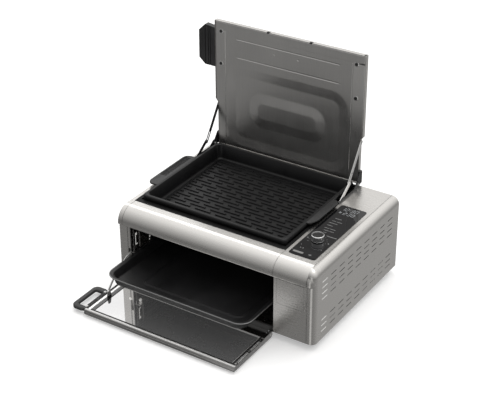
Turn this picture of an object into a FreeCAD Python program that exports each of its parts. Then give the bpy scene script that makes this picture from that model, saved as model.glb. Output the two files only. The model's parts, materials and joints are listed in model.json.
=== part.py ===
import FreeCAD, Part
import Sketcher
import math
import os

# Counter-top air fryer oven: a toaster-style cavity with a drop-down door and a
# baking tray, a lift-off grill pan in a heated well under a hinged lid, and a
# control tower on the right.  Millimetres, +Z up, origin on the worktop under
# the middle of the housing, front of the oven towards -Y.

V3 = FreeCAD.Vector
doc = FreeCAD.newDocument("air_fryer_oven")
sheet = doc.addObject("Spreadsheet::Sheet", "Sheet")
_row = [0]


class Dim:
    """A length that carries its value and the sheet expression it comes from."""

    def __init__(self, value, text=None):
        self.v = float(value)
        self.t = text

    def _txt(self):
        return self.t if self.t else "(%r)" % self.v

    def _mix(self, other, op, value, swap=False):
        other = other if isinstance(other, Dim) else Dim(other)
        if self.t is None and other.t is None:
            return Dim(value)
        a, b = (other, self) if swap else (self, other)
        return Dim(value, "(" + a._txt() + op + b._txt() + ")")

    def __add__(self, o):
        return self._mix(o, "+", self.v + float(o))

    def __radd__(self, o):
        return self._mix(o, "+", self.v + float(o), True)

    def __sub__(self, o):
        return self._mix(o, "-", self.v - float(o))

    def __rsub__(self, o):
        return self._mix(o, "-", float(o) - self.v, True)

    def __mul__(self, o):
        return self._mix(o, "*", self.v * float(o))

    def __rmul__(self, o):
        return self._mix(o, "*", self.v * float(o), True)

    def __truediv__(self, o):
        return self._mix(o, "/", self.v / float(o))

    def __neg__(self):
        return self._mix(Dim(-1.0), "*", -self.v)

    def __float__(self):
        return self.v


def dim(alias, value, note):
    """One driving dimension: a plain number in the sheet, with an alias."""
    _row[0] += 1
    sheet.set("A%d" % _row[0], note)
    sheet.set("B%d" % _row[0], repr(float(value)))
    sheet.setAlias("B%d" % _row[0], alias)
    return Dim(value, "Sheet." + alias)


def D(x):
    return x if isinstance(x, Dim) else Dim(x)


def bind(obj, prop, value):
    value = D(value)
    if value.t:
        obj.setExpression(prop, value.t)
    return value.v


# ---------------------------------------------------------------- dimensions
body_w = dim("body_w", 480.0, "housing width")
body_d = dim("body_d", 359.0, "housing depth")
body_rise = dim("body_rise", 172.4, "housing height without the feet")
foot_rise = dim("foot_rise", 16.0, "height of the rubber feet")
foot_rad = dim("foot_rad", 12.0, "radius of the rubber feet")
skin = dim("skin", 0.9, "thickness of the outer sheet metal")
tower_x = dim("tower_x", 144.9, "left face of the control tower")
open_x0 = dim("open_x0", -211.2, "left edge of the oven opening")
open_z0 = dim("open_z0", 28.5, "bottom edge of the oven opening")
nose_y = dim("nose_y", -184.3, "foremost line of the rounded front beam")
nose_z = dim("nose_z", 151.6, "underside of the rounded front beam")
nose_rad = dim("nose_rad", 33.0, "radius of the rounded front beam")
lip_rad = dim("lip_rad", 3.0, "lower lip radius of the front beam")
beam_back = dim("beam_back", -135.0, "rear edge of the front beam")
cap_x = dim("cap_x", -229.6, "seam between beam and left end cap")
seam_x = dim("seam_x", 222.5, "seam between tower cover and right side panel")
edge_rad = dim("edge_rad", 17.4, "rounded top right edge of the housing")
corner_rad = dim("corner_rad", 12.5, "rounded front right edge of the housing")
liner_t = dim("liner_t", 0.6, "thickness of the cavity liner")
cav_x1 = dim("cav_x1", 144.0, "right wall of the cavity")
cav_y1 = dim("cav_y1", 141.0, "back wall of the cavity")
cav_z1 = dim("cav_z1", 150.6, "roof of the cavity")
mid_x = dim("mid_x", -43.25, "middle plane of lid, stays and grill pan")
deck_front = dim("deck_front", -134.8, "front edge of the black deck")
well_half = dim("well_half", 179.75, "half width inside the grill well")
well_y0 = dim("well_y0", -121.0, "front wall of the grill well")
well_y1 = dim("well_y1", 172.0, "rear wall of the grill well")
well_z = dim("well_z", 152.6, "underside of the grill well")
pan_half = dim("pan_half", 178.6, "half width of the grill pan rim")
pan_y0 = dim("pan_y0", -121.0, "front edge of the grill pan rim")
pan_y1 = dim("pan_y1", 171.0, "rear edge of the grill pan rim")
pan_rim = dim("pan_rim", 200.0, "top of the grill pan rim")
pan_floor = dim("pan_floor", 166.0, "cooking surface of the grill pan")
pan_wall = dim("pan_wall", 2.1, "wall thickness of the grill pan")
rib_pitch = dim("rib_pitch", 12.0, "spacing of the grill ribs")
tray_x0 = dim("tray_x0", -209.0, "left rim of the baking tray")
tray_x1 = dim("tray_x1", 142.6, "right rim of the baking tray")
tray_y0 = dim("tray_y0", -281.0, "front rim of the baking tray, pulled out")
tray_y1 = dim("tray_y1", 4.0, "rear rim of the baking tray, pulled out")
tray_rim = dim("tray_rim", 86.0, "top of the baking tray rim")
tray_deep = dim("tray_deep", 18.0, "depth of the baking tray")
lid_y = dim("lid_y", 180.0, "inner face of the open lid")
lid_t = dim("lid_t", 10.0, "thickness of the lid")
lid_z0 = dim("lid_z0", 191.0, "hinge edge of the open lid")
lid_z1 = dim("lid_z1", 493.0, "free edge of the open lid")
lid_half = dim("lid_half", 188.15, "half width of the lid")
lid_waist = dim("lid_waist", 181.65, "half width of the lid beside the stays")
lid_step = dim("lid_step", 296.0, "height where the lid widens again")
hinge_y = dim("hinge_y", 170.0, "lid hinge axis, y")
hinge_z = dim("hinge_z", 196.0, "lid hinge axis, z")
stay_py = dim("stay_py", 185.0, "stay pivot on the lid, y")
stay_pz = dim("stay_pz", 291.0, "stay pivot on the lid, z")
stay_ky = dim("stay_ky", 134.2, "stay knee, y")
stay_kz = dim("stay_kz", 214.3, "stay knee, z")
stay_by = dim("stay_by", 92.985, "stay pivot on the housing, y")
stay_bz = dim("stay_bz", 186.0, "stay pivot on the housing, z")
stay_t = dim("stay_t", 1.5, "thickness of the stay links")
link_up = dim("link_up", 182.6, "offset of the upper stay links from the middle plane")
link_low = dim("link_low", 184.6, "offset of the lower stay links from the middle plane")
brkt_off = dim("brkt_off", 186.65, "offset of the hinge brackets from the middle plane")
pin_big = dim("pin_big", 2.5, "radius of the lid and door hinge pins")
pin_mid = dim("pin_mid", 2.0, "radius of the stay pivots")
pin_knee = dim("pin_knee", 1.5, "radius of the stay knee pins")
run_gap = dim("run_gap", 0.05, "radial running clearance")
door_y0 = dim("door_y0", -325.0, "free edge of the open door")
door_y1 = dim("door_y1", -180.6, "hinge edge of the open door")
door_x0 = dim("door_x0", -231.4, "left edge of the door")
door_x1 = dim("door_x1", 143.9, "right edge of the door")
door_z0 = dim("door_z0", 5.5, "outer face of the open door")
door_z1 = dim("door_z1", 17.0, "inner face of the open door")
door_hy = dim("door_hy", -187.0, "door hinge axis, y")
door_hz = dim("door_hz", 12.0, "door hinge axis, z")
ear_rad = dim("ear_rad", 6.4, "radius of the rounded door ears about the hinge axis")
seam = dim("seam", 0.7, "visible seam between the sheets of the casing")
link_y = dim("link_y", -258.0, "pivot of the door link on the open door, y")
link_z = dim("link_z", 29.0, "pivot of the door link on the open door, z")
link_cy = dim("link_cy", -135.86, "centre of the door link's bend, y")
link_cz = dim("link_cz", -66.43, "centre of the door link's bend, z")
link_rad = dim("link_rad", 155.0, "bending radius of the door link")
link_half = dim("link_half", 2.7, "half width of the door link")
glass_x0 = dim("glass_x0", 152.3, "left edge of the control glass")
glass_x1 = dim("glass_x1", 213.3, "right edge of the control glass")
glass_y0 = dim("glass_y0", -138.1, "front edge of the control glass")
glass_y1 = dim("glass_y1", 84.5, "rear edge of the control glass")
knob_x = dim("knob_x", 181.5, "dial axis, x")
knob_y = dim("knob_y", -69.5, "dial axis, y")
knob_rad = dim("knob_rad", 13.0, "dial radius")
fan_y = dim("fan_y", 20.0, "convection fan axis, y")
fan_z = dim("fan_z", 90.0, "convection fan axis, z")
fan_rad = dim("fan_rad", 44.0, "convection fan radius")
rod_rad = dim("rod_rad", 3.25, "radius of the heating rods")
louvre_y = dim("louvre_y", 21.5, "length of the side louvres")
louvre_z = dim("louvre_z", 1.7, "height of the side louvres")

x_l = -body_w / 2
x_r = body_w / 2
y_f = -body_d / 2
y_b = body_d / 2
z_b = foot_rise
z_t = foot_rise + body_rise
parts = {}


# ------------------------------------------------------------------- helpers
def box(name, x0, x1, y0, y1, z0, z1):
    o = doc.addObject("Part::Box", name)
    o.Label = name
    x0, x1, y0, y1, z0, z1 = [D(a) for a in (x0, x1, y0, y1, z0, z1)]
    o.Length, o.Width, o.Height = (x1 - x0).v, (y1 - y0).v, (z1 - z0).v
    o.Placement = FreeCAD.Placement(V3(x0.v, y0.v, z0.v), FreeCAD.Rotation())
    bind(o, "Length", x1 - x0)
    bind(o, "Width", y1 - y0)
    bind(o, "Height", z1 - z0)
    bind(o, "Placement.Base.x", x0)
    bind(o, "Placement.Base.y", y0)
    bind(o, "Placement.Base.z", z0)
    return o


TURN = {"x": FreeCAD.Rotation(V3(0, 1, 0), 90), "y": FreeCAD.Rotation(V3(1, 0, 0), -90),
        "z": FreeCAD.Rotation()}


def rod(name, axis, x, y, z, radius, length):
    o = doc.addObject("Part::Cylinder", name)
    o.Label = name
    x, y, z, radius, length = [D(a) for a in (x, y, z, radius, length)]
    o.Radius, o.Height = radius.v, length.v
    o.Placement = FreeCAD.Placement(V3(x.v, y.v, z.v), TURN[axis])
    bind(o, "Radius", radius)
    bind(o, "Height", length)
    bind(o, "Placement.Base.x", x)
    bind(o, "Placement.Base.y", y)
    bind(o, "Placement.Base.z", z)
    return o


def fuse(name, shapes):
    o = doc.addObject("Part::MultiFuse", name)
    o.Label = name
    o.Shapes = shapes
    o.Refine = True
    return o


def group(name, shapes):
    o = doc.addObject("Part::Compound", name)
    o.Label = name
    o.Links = shapes
    return o


def cut(name, base, tools):
    tool = tools[0] if len(tools) == 1 else group(name + "_tools", tools)
    o = doc.addObject("Part::Cut", name)
    o.Label = name
    o.Base = base
    o.Tool = tool
    return o


def soften(name, base, pick, radius):
    """Part fillet on the straight edges that pick() accepts."""
    doc.recompute()
    o = doc.addObject("Part::Fillet", name)
    o.Label = name
    o.Base = base
    r = D(radius).v
    o.Edges = [(i + 1, r, r) for i, e in enumerate(base.Shape.Edges) if pick(e)]
    if not o.Edges:
        raise RuntimeError("no edges to round on " + name)
    return o


def ends(e):
    return e.Vertexes[0].Point, e.Vertexes[-1].Point


def along(e, axis):
    if len(e.Vertexes) < 2 or not isinstance(e.Curve, Part.Line):
        return False
    a, b = ends(e)
    d = b - a
    return abs(getattr(d, axis)) > 0.999 * d.Length


def put(obj, name):
    obj.Label = name
    parts[name] = obj
    return obj


ROLE = {"xy": "XY_Plane", "xz": "XZ_Plane", "yz": "YZ_Plane"}


def new_body(name):
    b = doc.addObject("PartDesign::Body", name)
    b.Label = name
    return b


def new_sketch(body, name, plane, offset):
    """Sketch on one of the body's own origin planes, moved along +X, +Y or +Z."""
    sk = body.newObject("Sketcher::SketchObject", name)
    face = [f for f in body.Origin.OriginFeatures if f.Role == ROLE[plane]][0]
    sk.AttachmentSupport = [(face, "")]
    sk.MapMode = "FlatFace"
    off = -D(offset) if plane == "xz" else D(offset)
    sk.AttachmentOffset = FreeCAD.Placement(V3(0, 0, off.v), FreeCAD.Rotation())
    if off.t:
        sk.setExpression("AttachmentOffset.Base.z", off.t)
    return sk


def tie(sk, geo, point, u, v):
    """Hold one point of the sketch at (u, v) from the sketch origin."""
    for kind, val in (("DistanceX", D(u)), ("DistanceY", D(v))):
        n = sk.addConstraint(cstr(kind, -1, 1, geo, point, val.v))
        if val.t:
            sk.setExpression("Constraints[%d]" % n, val.t)


def cstr(*a):
    return Sketcher.Constraint(*a)


def draw_poly(sk, pts):
    n0 = sk.GeometryCount
    pts = [(D(a), D(b)) for a, b in pts]
    n = len(pts)
    for i in range(n):
        a, b = pts[i], pts[(i + 1) % n]
        sk.addGeometry(Part.LineSegment(V3(a[0].v, a[1].v, 0), V3(b[0].v, b[1].v, 0)), False)
    for i in range(n):
        sk.addConstraint(cstr("Coincident", n0 + i, 2, n0 + (i + 1) % n, 1))
        tie(sk, n0 + i, 1, *pts[i])


def draw_circle(sk, u, v, r):
    n = sk.addGeometry(Part.Circle(V3(D(u).v, D(v).v, 0), V3(0, 0, 1), D(r).v), False)
    tie(sk, n, 3, u, v)
    c = sk.addConstraint(cstr("Radius", n, D(r).v))
    if D(r).t:
        sk.setExpression("Constraints[%d]" % c, D(r).t)


def draw_rrect(sk, u0, u1, v0, v1, r):
    """Rounded rectangle from four lines and four tangent arcs."""
    u0, u1, v0, v1, r = [D(a) for a in (u0, u1, v0, v1, r)]
    a, b, c, d, q = u0.v, u1.v, v0.v, v1.v, r.v
    n = sk.GeometryCount
    L = Part.LineSegment
    h = math.pi / 2

    def arc(cu, cv, s):
        return Part.ArcOfCircle(Part.Circle(V3(cu, cv, 0), V3(0, 0, 1), q), s, s + h)

    for g in (L(V3(a + q, c, 0), V3(b - q, c, 0)), arc(b - q, c + q, 3 * h),
              L(V3(b, c + q, 0), V3(b, d - q, 0)), arc(b - q, d - q, 0.0),
              L(V3(b - q, d, 0), V3(a + q, d, 0)), arc(a + q, d - q, h),
              L(V3(a, d - q, 0), V3(a, c + q, 0)), arc(a + q, c + q, 2 * h)):
        sk.addGeometry(g, False)
    for i in range(8):
        sk.addConstraint(cstr("Tangent", n + i, 2, n + (i + 1) % 8, 1))
    sk.addConstraint(cstr("Horizontal", n))
    sk.addConstraint(cstr("Vertical", n + 2))
    sk.addConstraint(cstr("Horizontal", n + 4))
    sk.addConstraint(cstr("Vertical", n + 6))
    for i in (3, 5, 7):
        sk.addConstraint(cstr("Equal", n + 1, n + i))
    k = sk.addConstraint(cstr("Radius", n + 1, q))
    if r.t:
        sk.setExpression("Constraints[%d]" % k, r.t)
    for kind, geo, val in (("DistanceY", n, v0), ("DistanceX", n + 2, u1),
                           ("DistanceY", n + 4, v1), ("DistanceX", n + 6, u0)):
        k = sk.addConstraint(cstr(kind, -1, 1, geo, 1, val.v))
        if val.t:
            sk.setExpression("Constraints[%d]" % k, val.t)


def draw(sk, loops):
    for lp in loops:
        kind = lp[0]
        if kind == "poly":
            draw_poly(sk, lp[1])
        elif kind == "circle":
            draw_circle(sk, *lp[1:])
        else:
            draw_rrect(sk, *lp[1:])


_n = [0]


def pad(body, plane, loops, a, b, rounds=()):
    """Pad from a to b along the plane's own +X, +Y or +Z, then round corners."""
    _n[0] += 1
    a, b = D(a), D(b)
    start = b if plane == "xz" else a
    sk = new_sketch(body, "%s_s%d" % (body.Name, _n[0]), plane, start)
    draw(sk, loops)
    p = body.newObject("PartDesign::Pad", "%s_pad%d" % (body.Name, _n[0]))
    p.Profile = sk
    p.Length = (b - a).v
    bind(p, "Length", b - a)
    p.Refine = True
    sk.Visibility = False
    last = p
    if rounds:
        doc.recompute()
        for (u, v), r in rounds:
            last = round_at(body, last, plane, u, v, r)
    return last


def round_at(body, feat, plane, u, v, r):
    """Fillet the edges that run square to the plane through (u, v)."""
    doc.recompute()
    u, v = D(u).v, D(v).v
    ax = {"xy": ("x", "y", "z"), "xz": ("x", "z", "y"), "yz": ("y", "z", "x")}[plane]
    names = []
    for i, e in enumerate(feat.Shape.Edges):
        if not along(e, ax[2]):
            continue
        p = ends(e)[0]
        if abs(getattr(p, ax[0]) - u) < 1e-3 and abs(getattr(p, ax[1]) - v) < 1e-3:
            names.append("Edge%d" % (i + 1))
    if not names:
        raise RuntimeError("no corner at %r %r on %s" % (u, v, body.Name))
    _n[0] += 1
    f = body.newObject("PartDesign::Fillet", "%s_round%d" % (body.Name, _n[0]))
    f.Base = (feat, names)
    f.Radius = D(r).v
    bind(f, "Radius", r)
    return f


def pocket(body, plane, loops, a, b):
    """Pocket that removes everything between a and b along the plane's axis."""
    _n[0] += 1
    a, b = D(a), D(b)
    # a pocket goes against the sketch normal, and the xz normal is -Y
    start = a if plane == "xz" else b
    sk = new_sketch(body, "%s_s%d" % (body.Name, _n[0]), plane, start)
    draw(sk, loops)
    p = body.newObject("PartDesign::Pocket", "%s_pocket%d" % (body.Name, _n[0]))
    p.Profile = sk
    p.Length = (b - a).v
    bind(p, "Length", b - a)
    sk.Visibility = False
    return p


def prism(name, plane, loops, a, b, rounds=()):
    body = new_body(name)
    pad(body, plane, loops, a, b, rounds)
    return body


def turned(name, x, y, z, axis, profile):
    """Revolved piece: profile of (radius, height) points about a Z line, then turned."""
    body = new_body(name)
    sk = new_sketch(body, name + "_profile", "xz", 0.0)
    draw_poly(sk, profile)
    rev = body.newObject("PartDesign::Revolution", name + "_turn")
    rev.Profile = sk
    rev.ReferenceAxis = (sk, ["V_Axis"])
    rev.Angle = 360.0
    x, y, z = D(x), D(y), D(z)
    body.Placement = FreeCAD.Placement(V3(x.v, y.v, z.v), TURN[axis])
    for ax, val in (("x", x), ("y", y), ("z", z)):
        bind(body, "Placement.Base." + ax, val)
    return body


def screw(name, axis, x, y, z, head_r, head_h, shank_r, shank_l, out):
    """Pan head with a cross recess; out is +1 or -1, the way the head points."""
    x, y, z = D(x), D(y), D(z)
    c = {"x": x, "y": y, "z": z}

    def at(shift):
        q = dict(c)
        q[axis] = c[axis] + shift
        return q["x"], q["y"], q["z"]

    head = rod(name + "_h", axis, *at(0.0 if out > 0 else -head_h), head_r, head_h)
    shank = rod(name + "_s", axis, *at(-shank_l if out > 0 else 0.0), shank_r, shank_l)
    body = fuse(name + "_b", [head, shank])
    w, t = head_r * 1.1, head_r * 0.22
    lo, hi = (head_h * 0.55, head_h + 1) if out > 0 else (-head_h - 1, -head_h * 0.55)
    bars = []
    for k, (p, q) in enumerate(((w, t), (t, w))):
        o = [x, y, z]
        i = "xyz".index(axis)
        j, m = [n for n in range(3) if n != i]
        rng = [None, None, None]
        rng[i] = (o[i] + lo, o[i] + hi)
        rng[j] = (o[j] - p / 2, o[j] + p / 2)
        rng[m] = (o[m] - q / 2, o[m] + q / 2)
        bars.append(box("%s_x%d" % (name, k), rng[0][0], rng[0][1], rng[1][0], rng[1][1],
                        rng[2][0], rng[2][1]))
    return cut(name, body, [fuse(name + "_cross", bars)])


# ====================================================================== base
# rubber feet, one under each corner
feet = []
for k, (fx, fy) in enumerate(((-200, -122), (200, -122), (-200, 142), (200, 142))):
    feet.append(turned("foot_%d" % k, fx, fy, 0.0, "z",
                       [(0, 3.0), (5.0, 3.0), (5.0, 0.0), (foot_rad - 1.5, 0.0), (foot_rad, 1.5),
                        (foot_rad + 1.0, foot_rise), (0, foot_rise)]))
put(group("feet", feet), "feet")

# bottom pan with up-turned flanges and cooling slots
bp = prism("base_plate", "xy", [("poly", [(x_l + skin, y_f + skin), (x_r - skin, y_f + skin),
                                           (x_r - skin, y_b - skin), (x_l + skin, y_b - skin)])],
           z_b, z_b + skin, [((x_r - skin, y_f + skin), corner_rad - skin)])
walls = [box("base_wall_l", x_l + skin, x_l + skin * 2, y_f + 20, y_b - skin, z_b, z_b + 12),
         box("base_wall_r", x_r - skin * 2, x_r - skin, y_f + 20, y_b - skin, z_b, z_b + 12),
         box("base_wall_b", x_l + skin, x_r - skin, y_b - skin * 2, y_b - skin, z_b, z_b + 12)]
base = fuse("base_solid", [bp] + walls)
slots = []
for k in range(8):
    for j in range(2):
        slots.append(box("base_slot_%d_%d" % (k, j), 160 + k * 8, 163 + k * 8, -100 + j * 110, -30 + j * 110,
                         z_b - 1, z_b + skin + 1))
put(cut("base_pan", base, slots), "base_pan")

# ============================================================ outer casing
# right side panel: wraps the top edge and the front edge in one rounded corner
po = box("panel_r_outer", seam_x, x_r, y_f, y_b, z_b, z_t)
po_f = soften("panel_r_outer_round", po,
              lambda e: (along(e, "y") and ends(e)[0].x > 239 and ends(e)[0].z > 180)
              or (along(e, "x") and ends(e)[0].y < -170 and ends(e)[0].z > 180), edge_rad)
po_g = soften("panel_r_outer_corner", po_f,
              lambda e: along(e, "z") and ends(e)[0].x > 239.9 and ends(e)[0].y < -179.4, corner_rad)
pi = box("panel_r_inner", seam_x - 5, x_r - skin, y_f + skin, y_b + 5, z_b - 5, z_t - skin)
pi_f = soften("panel_r_inner_round", pi,
              lambda e: (along(e, "y") and ends(e)[0].x > 235 and ends(e)[0].z > 180)
              or (along(e, "x") and ends(e)[0].y < -170 and ends(e)[0].z > 180), edge_rad - skin)
pi_g = soften("panel_r_inner_corner", pi_f,
              lambda e: along(e, "z") and ends(e)[0].x > 238.7 and ends(e)[0].y < -178.2, corner_rad - skin)
panel = cut("panel_r_shell", po_g, [pi_g])
lv = []
for k in range(9):
    for j, zc in enumerate((153.6, 140.0, 126.4, 112.8, 62.7, 49.1, 35.5)):
        yc = -125.5 + 34.9 * k - 14.0
        lv.append(box("louvre_%d_%d" % (k, j), x_r - skin * 2, x_r + 1, yc - louvre_y / 2, yc + louvre_y / 2,
                      zc - louvre_z / 2, zc + louvre_z / 2))
put(cut("side_panel_right", panel, lv), "side_panel_right")

# left side panel: flat side, narrow front return, top flange with a down-turned lip
top_in = mid_x - brkt_off - stay_t
sl = prism("panel_l_side", "yz", [("poly", [(y_f, z_b), (y_b, z_b), (y_b, z_t), (deck_front, z_t),
                                            (deck_front, nose_z), (y_f, nose_z)])], x_l, x_l + skin)
sl_parts = [sl,
            box("panel_l_return", x_l, -220.4, y_f, y_f + skin, z_b, nose_z),
            box("panel_l_flange", x_l, top_in, deck_front, y_b, z_t - skin, z_t),
            box("panel_l_lip", top_in - skin, top_in, deck_front + 40, y_b - 2, z_t - 24, z_t - skin)]
put(fuse("side_panel_left", sl_parts), "side_panel_left")

# rear panel with two fields of vertical vents and the cord inlet hole
rp = prism("rear_plate", "xz", [("poly", [(x_l + skin, z_b + skin), (x_r - skin, z_b + skin),
                                          (x_r - skin, z_t - skin), (x_l + skin, z_t - skin)])],
           y_b - skin, y_b, [((x_r - skin, z_t - skin), edge_rad - skin)])
rv = []
for k in range(14):
    rv.append(box("rear_vent_%d" % k, -150 + k * 16, -146 + k * 16, y_b - 3, y_b + 2, 70, 120))
for k in range(5):
    rv.append(box("rear_vent_t_%d" % k, 160 + k * 12, 164 + k * 12, y_b - 3, y_b + 2, 90, 150))
rv.append(rod("rear_inlet_hole", "y", 200, y_b - 3, 45, 8.0, 6))
rear_pts = [(-225, 30), (-100, 30), (40, 30), (130, 30), (-225, 150), (-100, 150), (40, 150), (130, 150)]
for k, (rx, rz) in enumerate(rear_pts):
    rv.append(rod("rear_hole_%d" % k, "y", rx, y_b - 3, rz, 1.7, 6))
put(cut("rear_panel", rp, rv), "rear_panel")
put(group("rear_screws", [screw("rear_screw_%d" % k, "y", rx, y_b, rz, 3.6, 2.0, 1.5, 5.0, 1)
                          for k, (rx, rz) in enumerate(rear_pts)]), "rear_screws")

# front frame: strip beside the opening with the link slot, and the sill below it
ff = [box("frame_strip", -220.2, open_x0, y_f + 0.6, y_f + 0.6 + skin, z_b + skin, nose_z - 0.2),
      box("frame_sill", open_x0, tower_x - 0.2, y_f, y_f + skin, z_b, open_z0 - 1.0),
      box("frame_sill_lip", open_x0, tower_x - 0.2, y_f, y_f + 7, open_z0 - 1.8, open_z0 - 1.0)]
put(cut("front_frame", fuse("front_frame_solid", ff),
        [box("frame_slot", -219.4, -214.2, y_f - 3, y_f + 5, 70, 97)]), "front_frame")

# rounded front beam over the opening, a bent sheet open at the back
nose_out = [(beam_back, nose_z), (nose_y, nose_z), (nose_y, z_t), (beam_back, z_t)]
bt = prism("beam_outer", "yz", [("poly", nose_out)], cap_x + seam, tower_x - seam,
           [((nose_y, z_t), nose_rad), ((nose_y, nose_z), lip_rad)])
bi = prism("beam_inner", "yz", [("poly", [(beam_back + 5, nose_z + skin), (nose_y + skin, nose_z + skin),
                                          (nose_y + skin, z_t - skin), (beam_back + 5, z_t - skin)])],
           cap_x - 5, tower_x + 5, [((nose_y + skin, z_t - skin), nose_rad - skin),
                                    ((nose_y + skin, nose_z + skin), lip_rad - skin)])
put(cut("front_beam", bt, [bi]), "front_beam")

# left end cap of the beam, a hollow moulding
ct = prism("cap_outer", "yz", [("poly", nose_out)], x_l, cap_x,
           [((nose_y, z_t), nose_rad), ((nose_y, nose_z), lip_rad)])
ci = prism("cap_inner", "yz", [("poly", [(beam_back + 5, nose_z + 2), (nose_y + 2, nose_z + 2),
                                         (nose_y + 2, z_t - 2), (beam_back + 5, z_t - 2)])],
           x_l + 2, cap_x + 5, [((nose_y + 2, z_t - 2), nose_rad - 2)])
put(cut("beam_end_cap", ct, [ci]), "beam_end_cap")

# tower cover: front, rounded nose and top in one sheet, with a left flange and a nose end plate
cov = prism("cover_outer", "yz", [("poly", [(y_f, z_b), (y_f, nose_z), (nose_y, nose_z), (nose_y, z_t), (y_b, z_t),
                                            (y_b, z_b)])], tower_x, seam_x - seam,
            [((nose_y, z_t), nose_rad), ((nose_y, nose_z), lip_rad)])
cvi = prism("cover_inner", "yz", [("poly", [(y_f + skin, z_b - 5), (y_f + skin, nose_z + skin),
                                            (nose_y + skin, nose_z + skin), (nose_y + skin, z_t - skin),
                                            (y_b + 5, z_t - skin), (y_b + 5, z_b - 5)])],
            tower_x + skin, seam_x - seam - skin,
            [((nose_y + skin, z_t - skin), nose_rad - skin), ((nose_y + skin, nose_z + skin), lip_rad - skin)])
# the flange on the left stops above the cavity and the right side is open behind the nose
open_l = box("cover_open_left", tower_x - 2, tower_x + skin + 0.1, y_f + skin, y_b + 5, z_b - 5, 153.4)
open_b = box("cover_open_back", tower_x - 2, tower_x + skin + 0.1, y_b - skin, y_b + 5, z_b - 5, z_t - skin)
open_r = box("cover_open_right", seam_x - 4, seam_x + 3, -150.0, y_b + 5, z_b - 5, z_t - skin)
open_r2 = box("cover_open_right_low", seam_x - 4, seam_x + 3, y_f + skin, -149.0, z_b - 5, nose_z - 0.4)
hole_g = prism("cover_window", "xy", [("rrect", glass_x0 - 0.2, glass_x1 + 0.2, glass_y0 - 0.2, glass_y1 + 0.2, 6.2)],
               z_t - 4, z_t + 2)
put(cut("tower_cover", cov, [cvi, open_l, open_b, open_r, open_r2, hole_g]), "tower_cover")

# ============================================================ oven cavity
lo = box("liner_outer", open_x0 - liner_t, cav_x1 + liner_t, y_f + skin * 2, cav_y1 + liner_t,
         open_z0 - liner_t, cav_z1 + liner_t)
li = box("liner_inner", open_x0, cav_x1, y_f - 5, cav_y1, open_z0, cav_z1)
# left wall: tall key slot and punched holes; right wall: fan opening; rods pass through
wall_cuts = [
    rod("liner_fan_hole", "x", cav_x1 - 2, fan_y, fan_z, 48.0, 5),
    box("liner_key_slot", open_x0 - 3, open_x0 + 3, -164.6, -161.8, 100, 126),
    box("liner_key_head", open_x0 - 3, open_x0 + 3, -164.6, -157.8, 122, 128),
    box("liner_key_foot", open_x0 - 3, open_x0 + 3, -164.6, -156.6, 98.5, 101.5),
    rod("liner_hole_a", "x", open_x0 - 3, -159, 78, 4.0, 6),
    rod("liner_hole_b", "x", open_x0 - 3, -113.3, 95.2, 2.4, 6),
    rod("liner_hole_c", "x", open_x0 - 3, -114.6, 88.6, 1.9, 6)]
for k, (hy, hz) in enumerate(((-60, 44), (60, 44), (-60, 138), (60, 138))):
    wall_cuts.append(rod("liner_rod_hole_%d" % k, "x", cav_x1 - 2, hy, hz, 3.6, 5))
put(cut("cavity_liner", lo, [li] + wall_cuts), "cavity_liner")

# rack guides: folded shelves that the tray rim slides on
gl = [box("guide_l_shelf", open_x0, -201.2, -172, 135, 83.2, 84.4),
      box("guide_l_web", open_x0, open_x0 + 1.2, -172, 135, 74, 83.2)]
put(fuse("rack_guide_left", gl), "rack_guide_left")
gr = [box("guide_r_shelf", 134.8, cav_x1 - 0.9, -172, 135, 83.2, 84.4),
      box("guide_r_web_f", cav_x1 - 2.1, cav_x1 - 0.9, -172, -50, 74, 83.2),
      box("guide_r_web_b", cav_x1 - 2.1, cav_x1 - 0.9, 85, 135, 74, 83.2),
      box("guide_r_foot_f", cav_x1 - 2.1, cav_x1, -172, -160, 74, 80),
      box("guide_r_foot_b", cav_x1 - 2.1, cav_x1, 123, 135, 74, 80)]
put(fuse("rack_guide_right", gr), "rack_guide_right")


def heating_rod(name, x_start, x_turn, y_half, z, turn_r):
    """U-shaped sheathed rod: two long legs along X joined by a rounded end."""
    body = new_body(name)
    path = new_sketch(body, name + "_path", "xy", z)
    xs, xt, yh, r = D(x_start), D(x_turn), D(y_half), D(turn_r)
    n = path.GeometryCount
    h = math.pi / 2
    L = Part.LineSegment
    path.addGeometry(L(V3(xs.v, -yh.v, 0), V3(xt.v, -yh.v, 0)), False)
    path.addGeometry(Part.ArcOfCircle(Part.Circle(V3(xt.v, -yh.v + r.v, 0), V3(0, 0, 1), r.v), 2 * h, 3 * h), False)
    path.addGeometry(L(V3(xt.v - r.v, -yh.v + r.v, 0), V3(xt.v - r.v, yh.v - r.v, 0)), False)
    path.addGeometry(Part.ArcOfCircle(Part.Circle(V3(xt.v, yh.v - r.v, 0), V3(0, 0, 1), r.v), h, 2 * h), False)
    path.addGeometry(L(V3(xt.v, yh.v, 0), V3(xs.v, yh.v, 0)), False)
    path.addConstraint(cstr("Tangent", n, 2, n + 1, 2))
    path.addConstraint(cstr("Tangent", n + 1, 1, n + 2, 1))
    path.addConstraint(cstr("Tangent", n + 2, 2, n + 3, 2))
    path.addConstraint(cstr("Tangent", n + 3, 1, n + 4, 1))
    tie(path, n, 1, xs, -yh)
    tie(path, n, 2, xt, -yh)
    tie(path, n + 4, 1, xt, yh)
    tie(path, n + 4, 2, xs, yh)
    prof = new_sketch(body, name + "_section", "yz", xs)
    draw_circle(prof, -yh, z, rod_rad)
    pipe = body.newObject("PartDesign::AdditivePipe", name + "_tube")
    pipe.Profile = prof
    pipe.Spine = path
    return body


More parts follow.
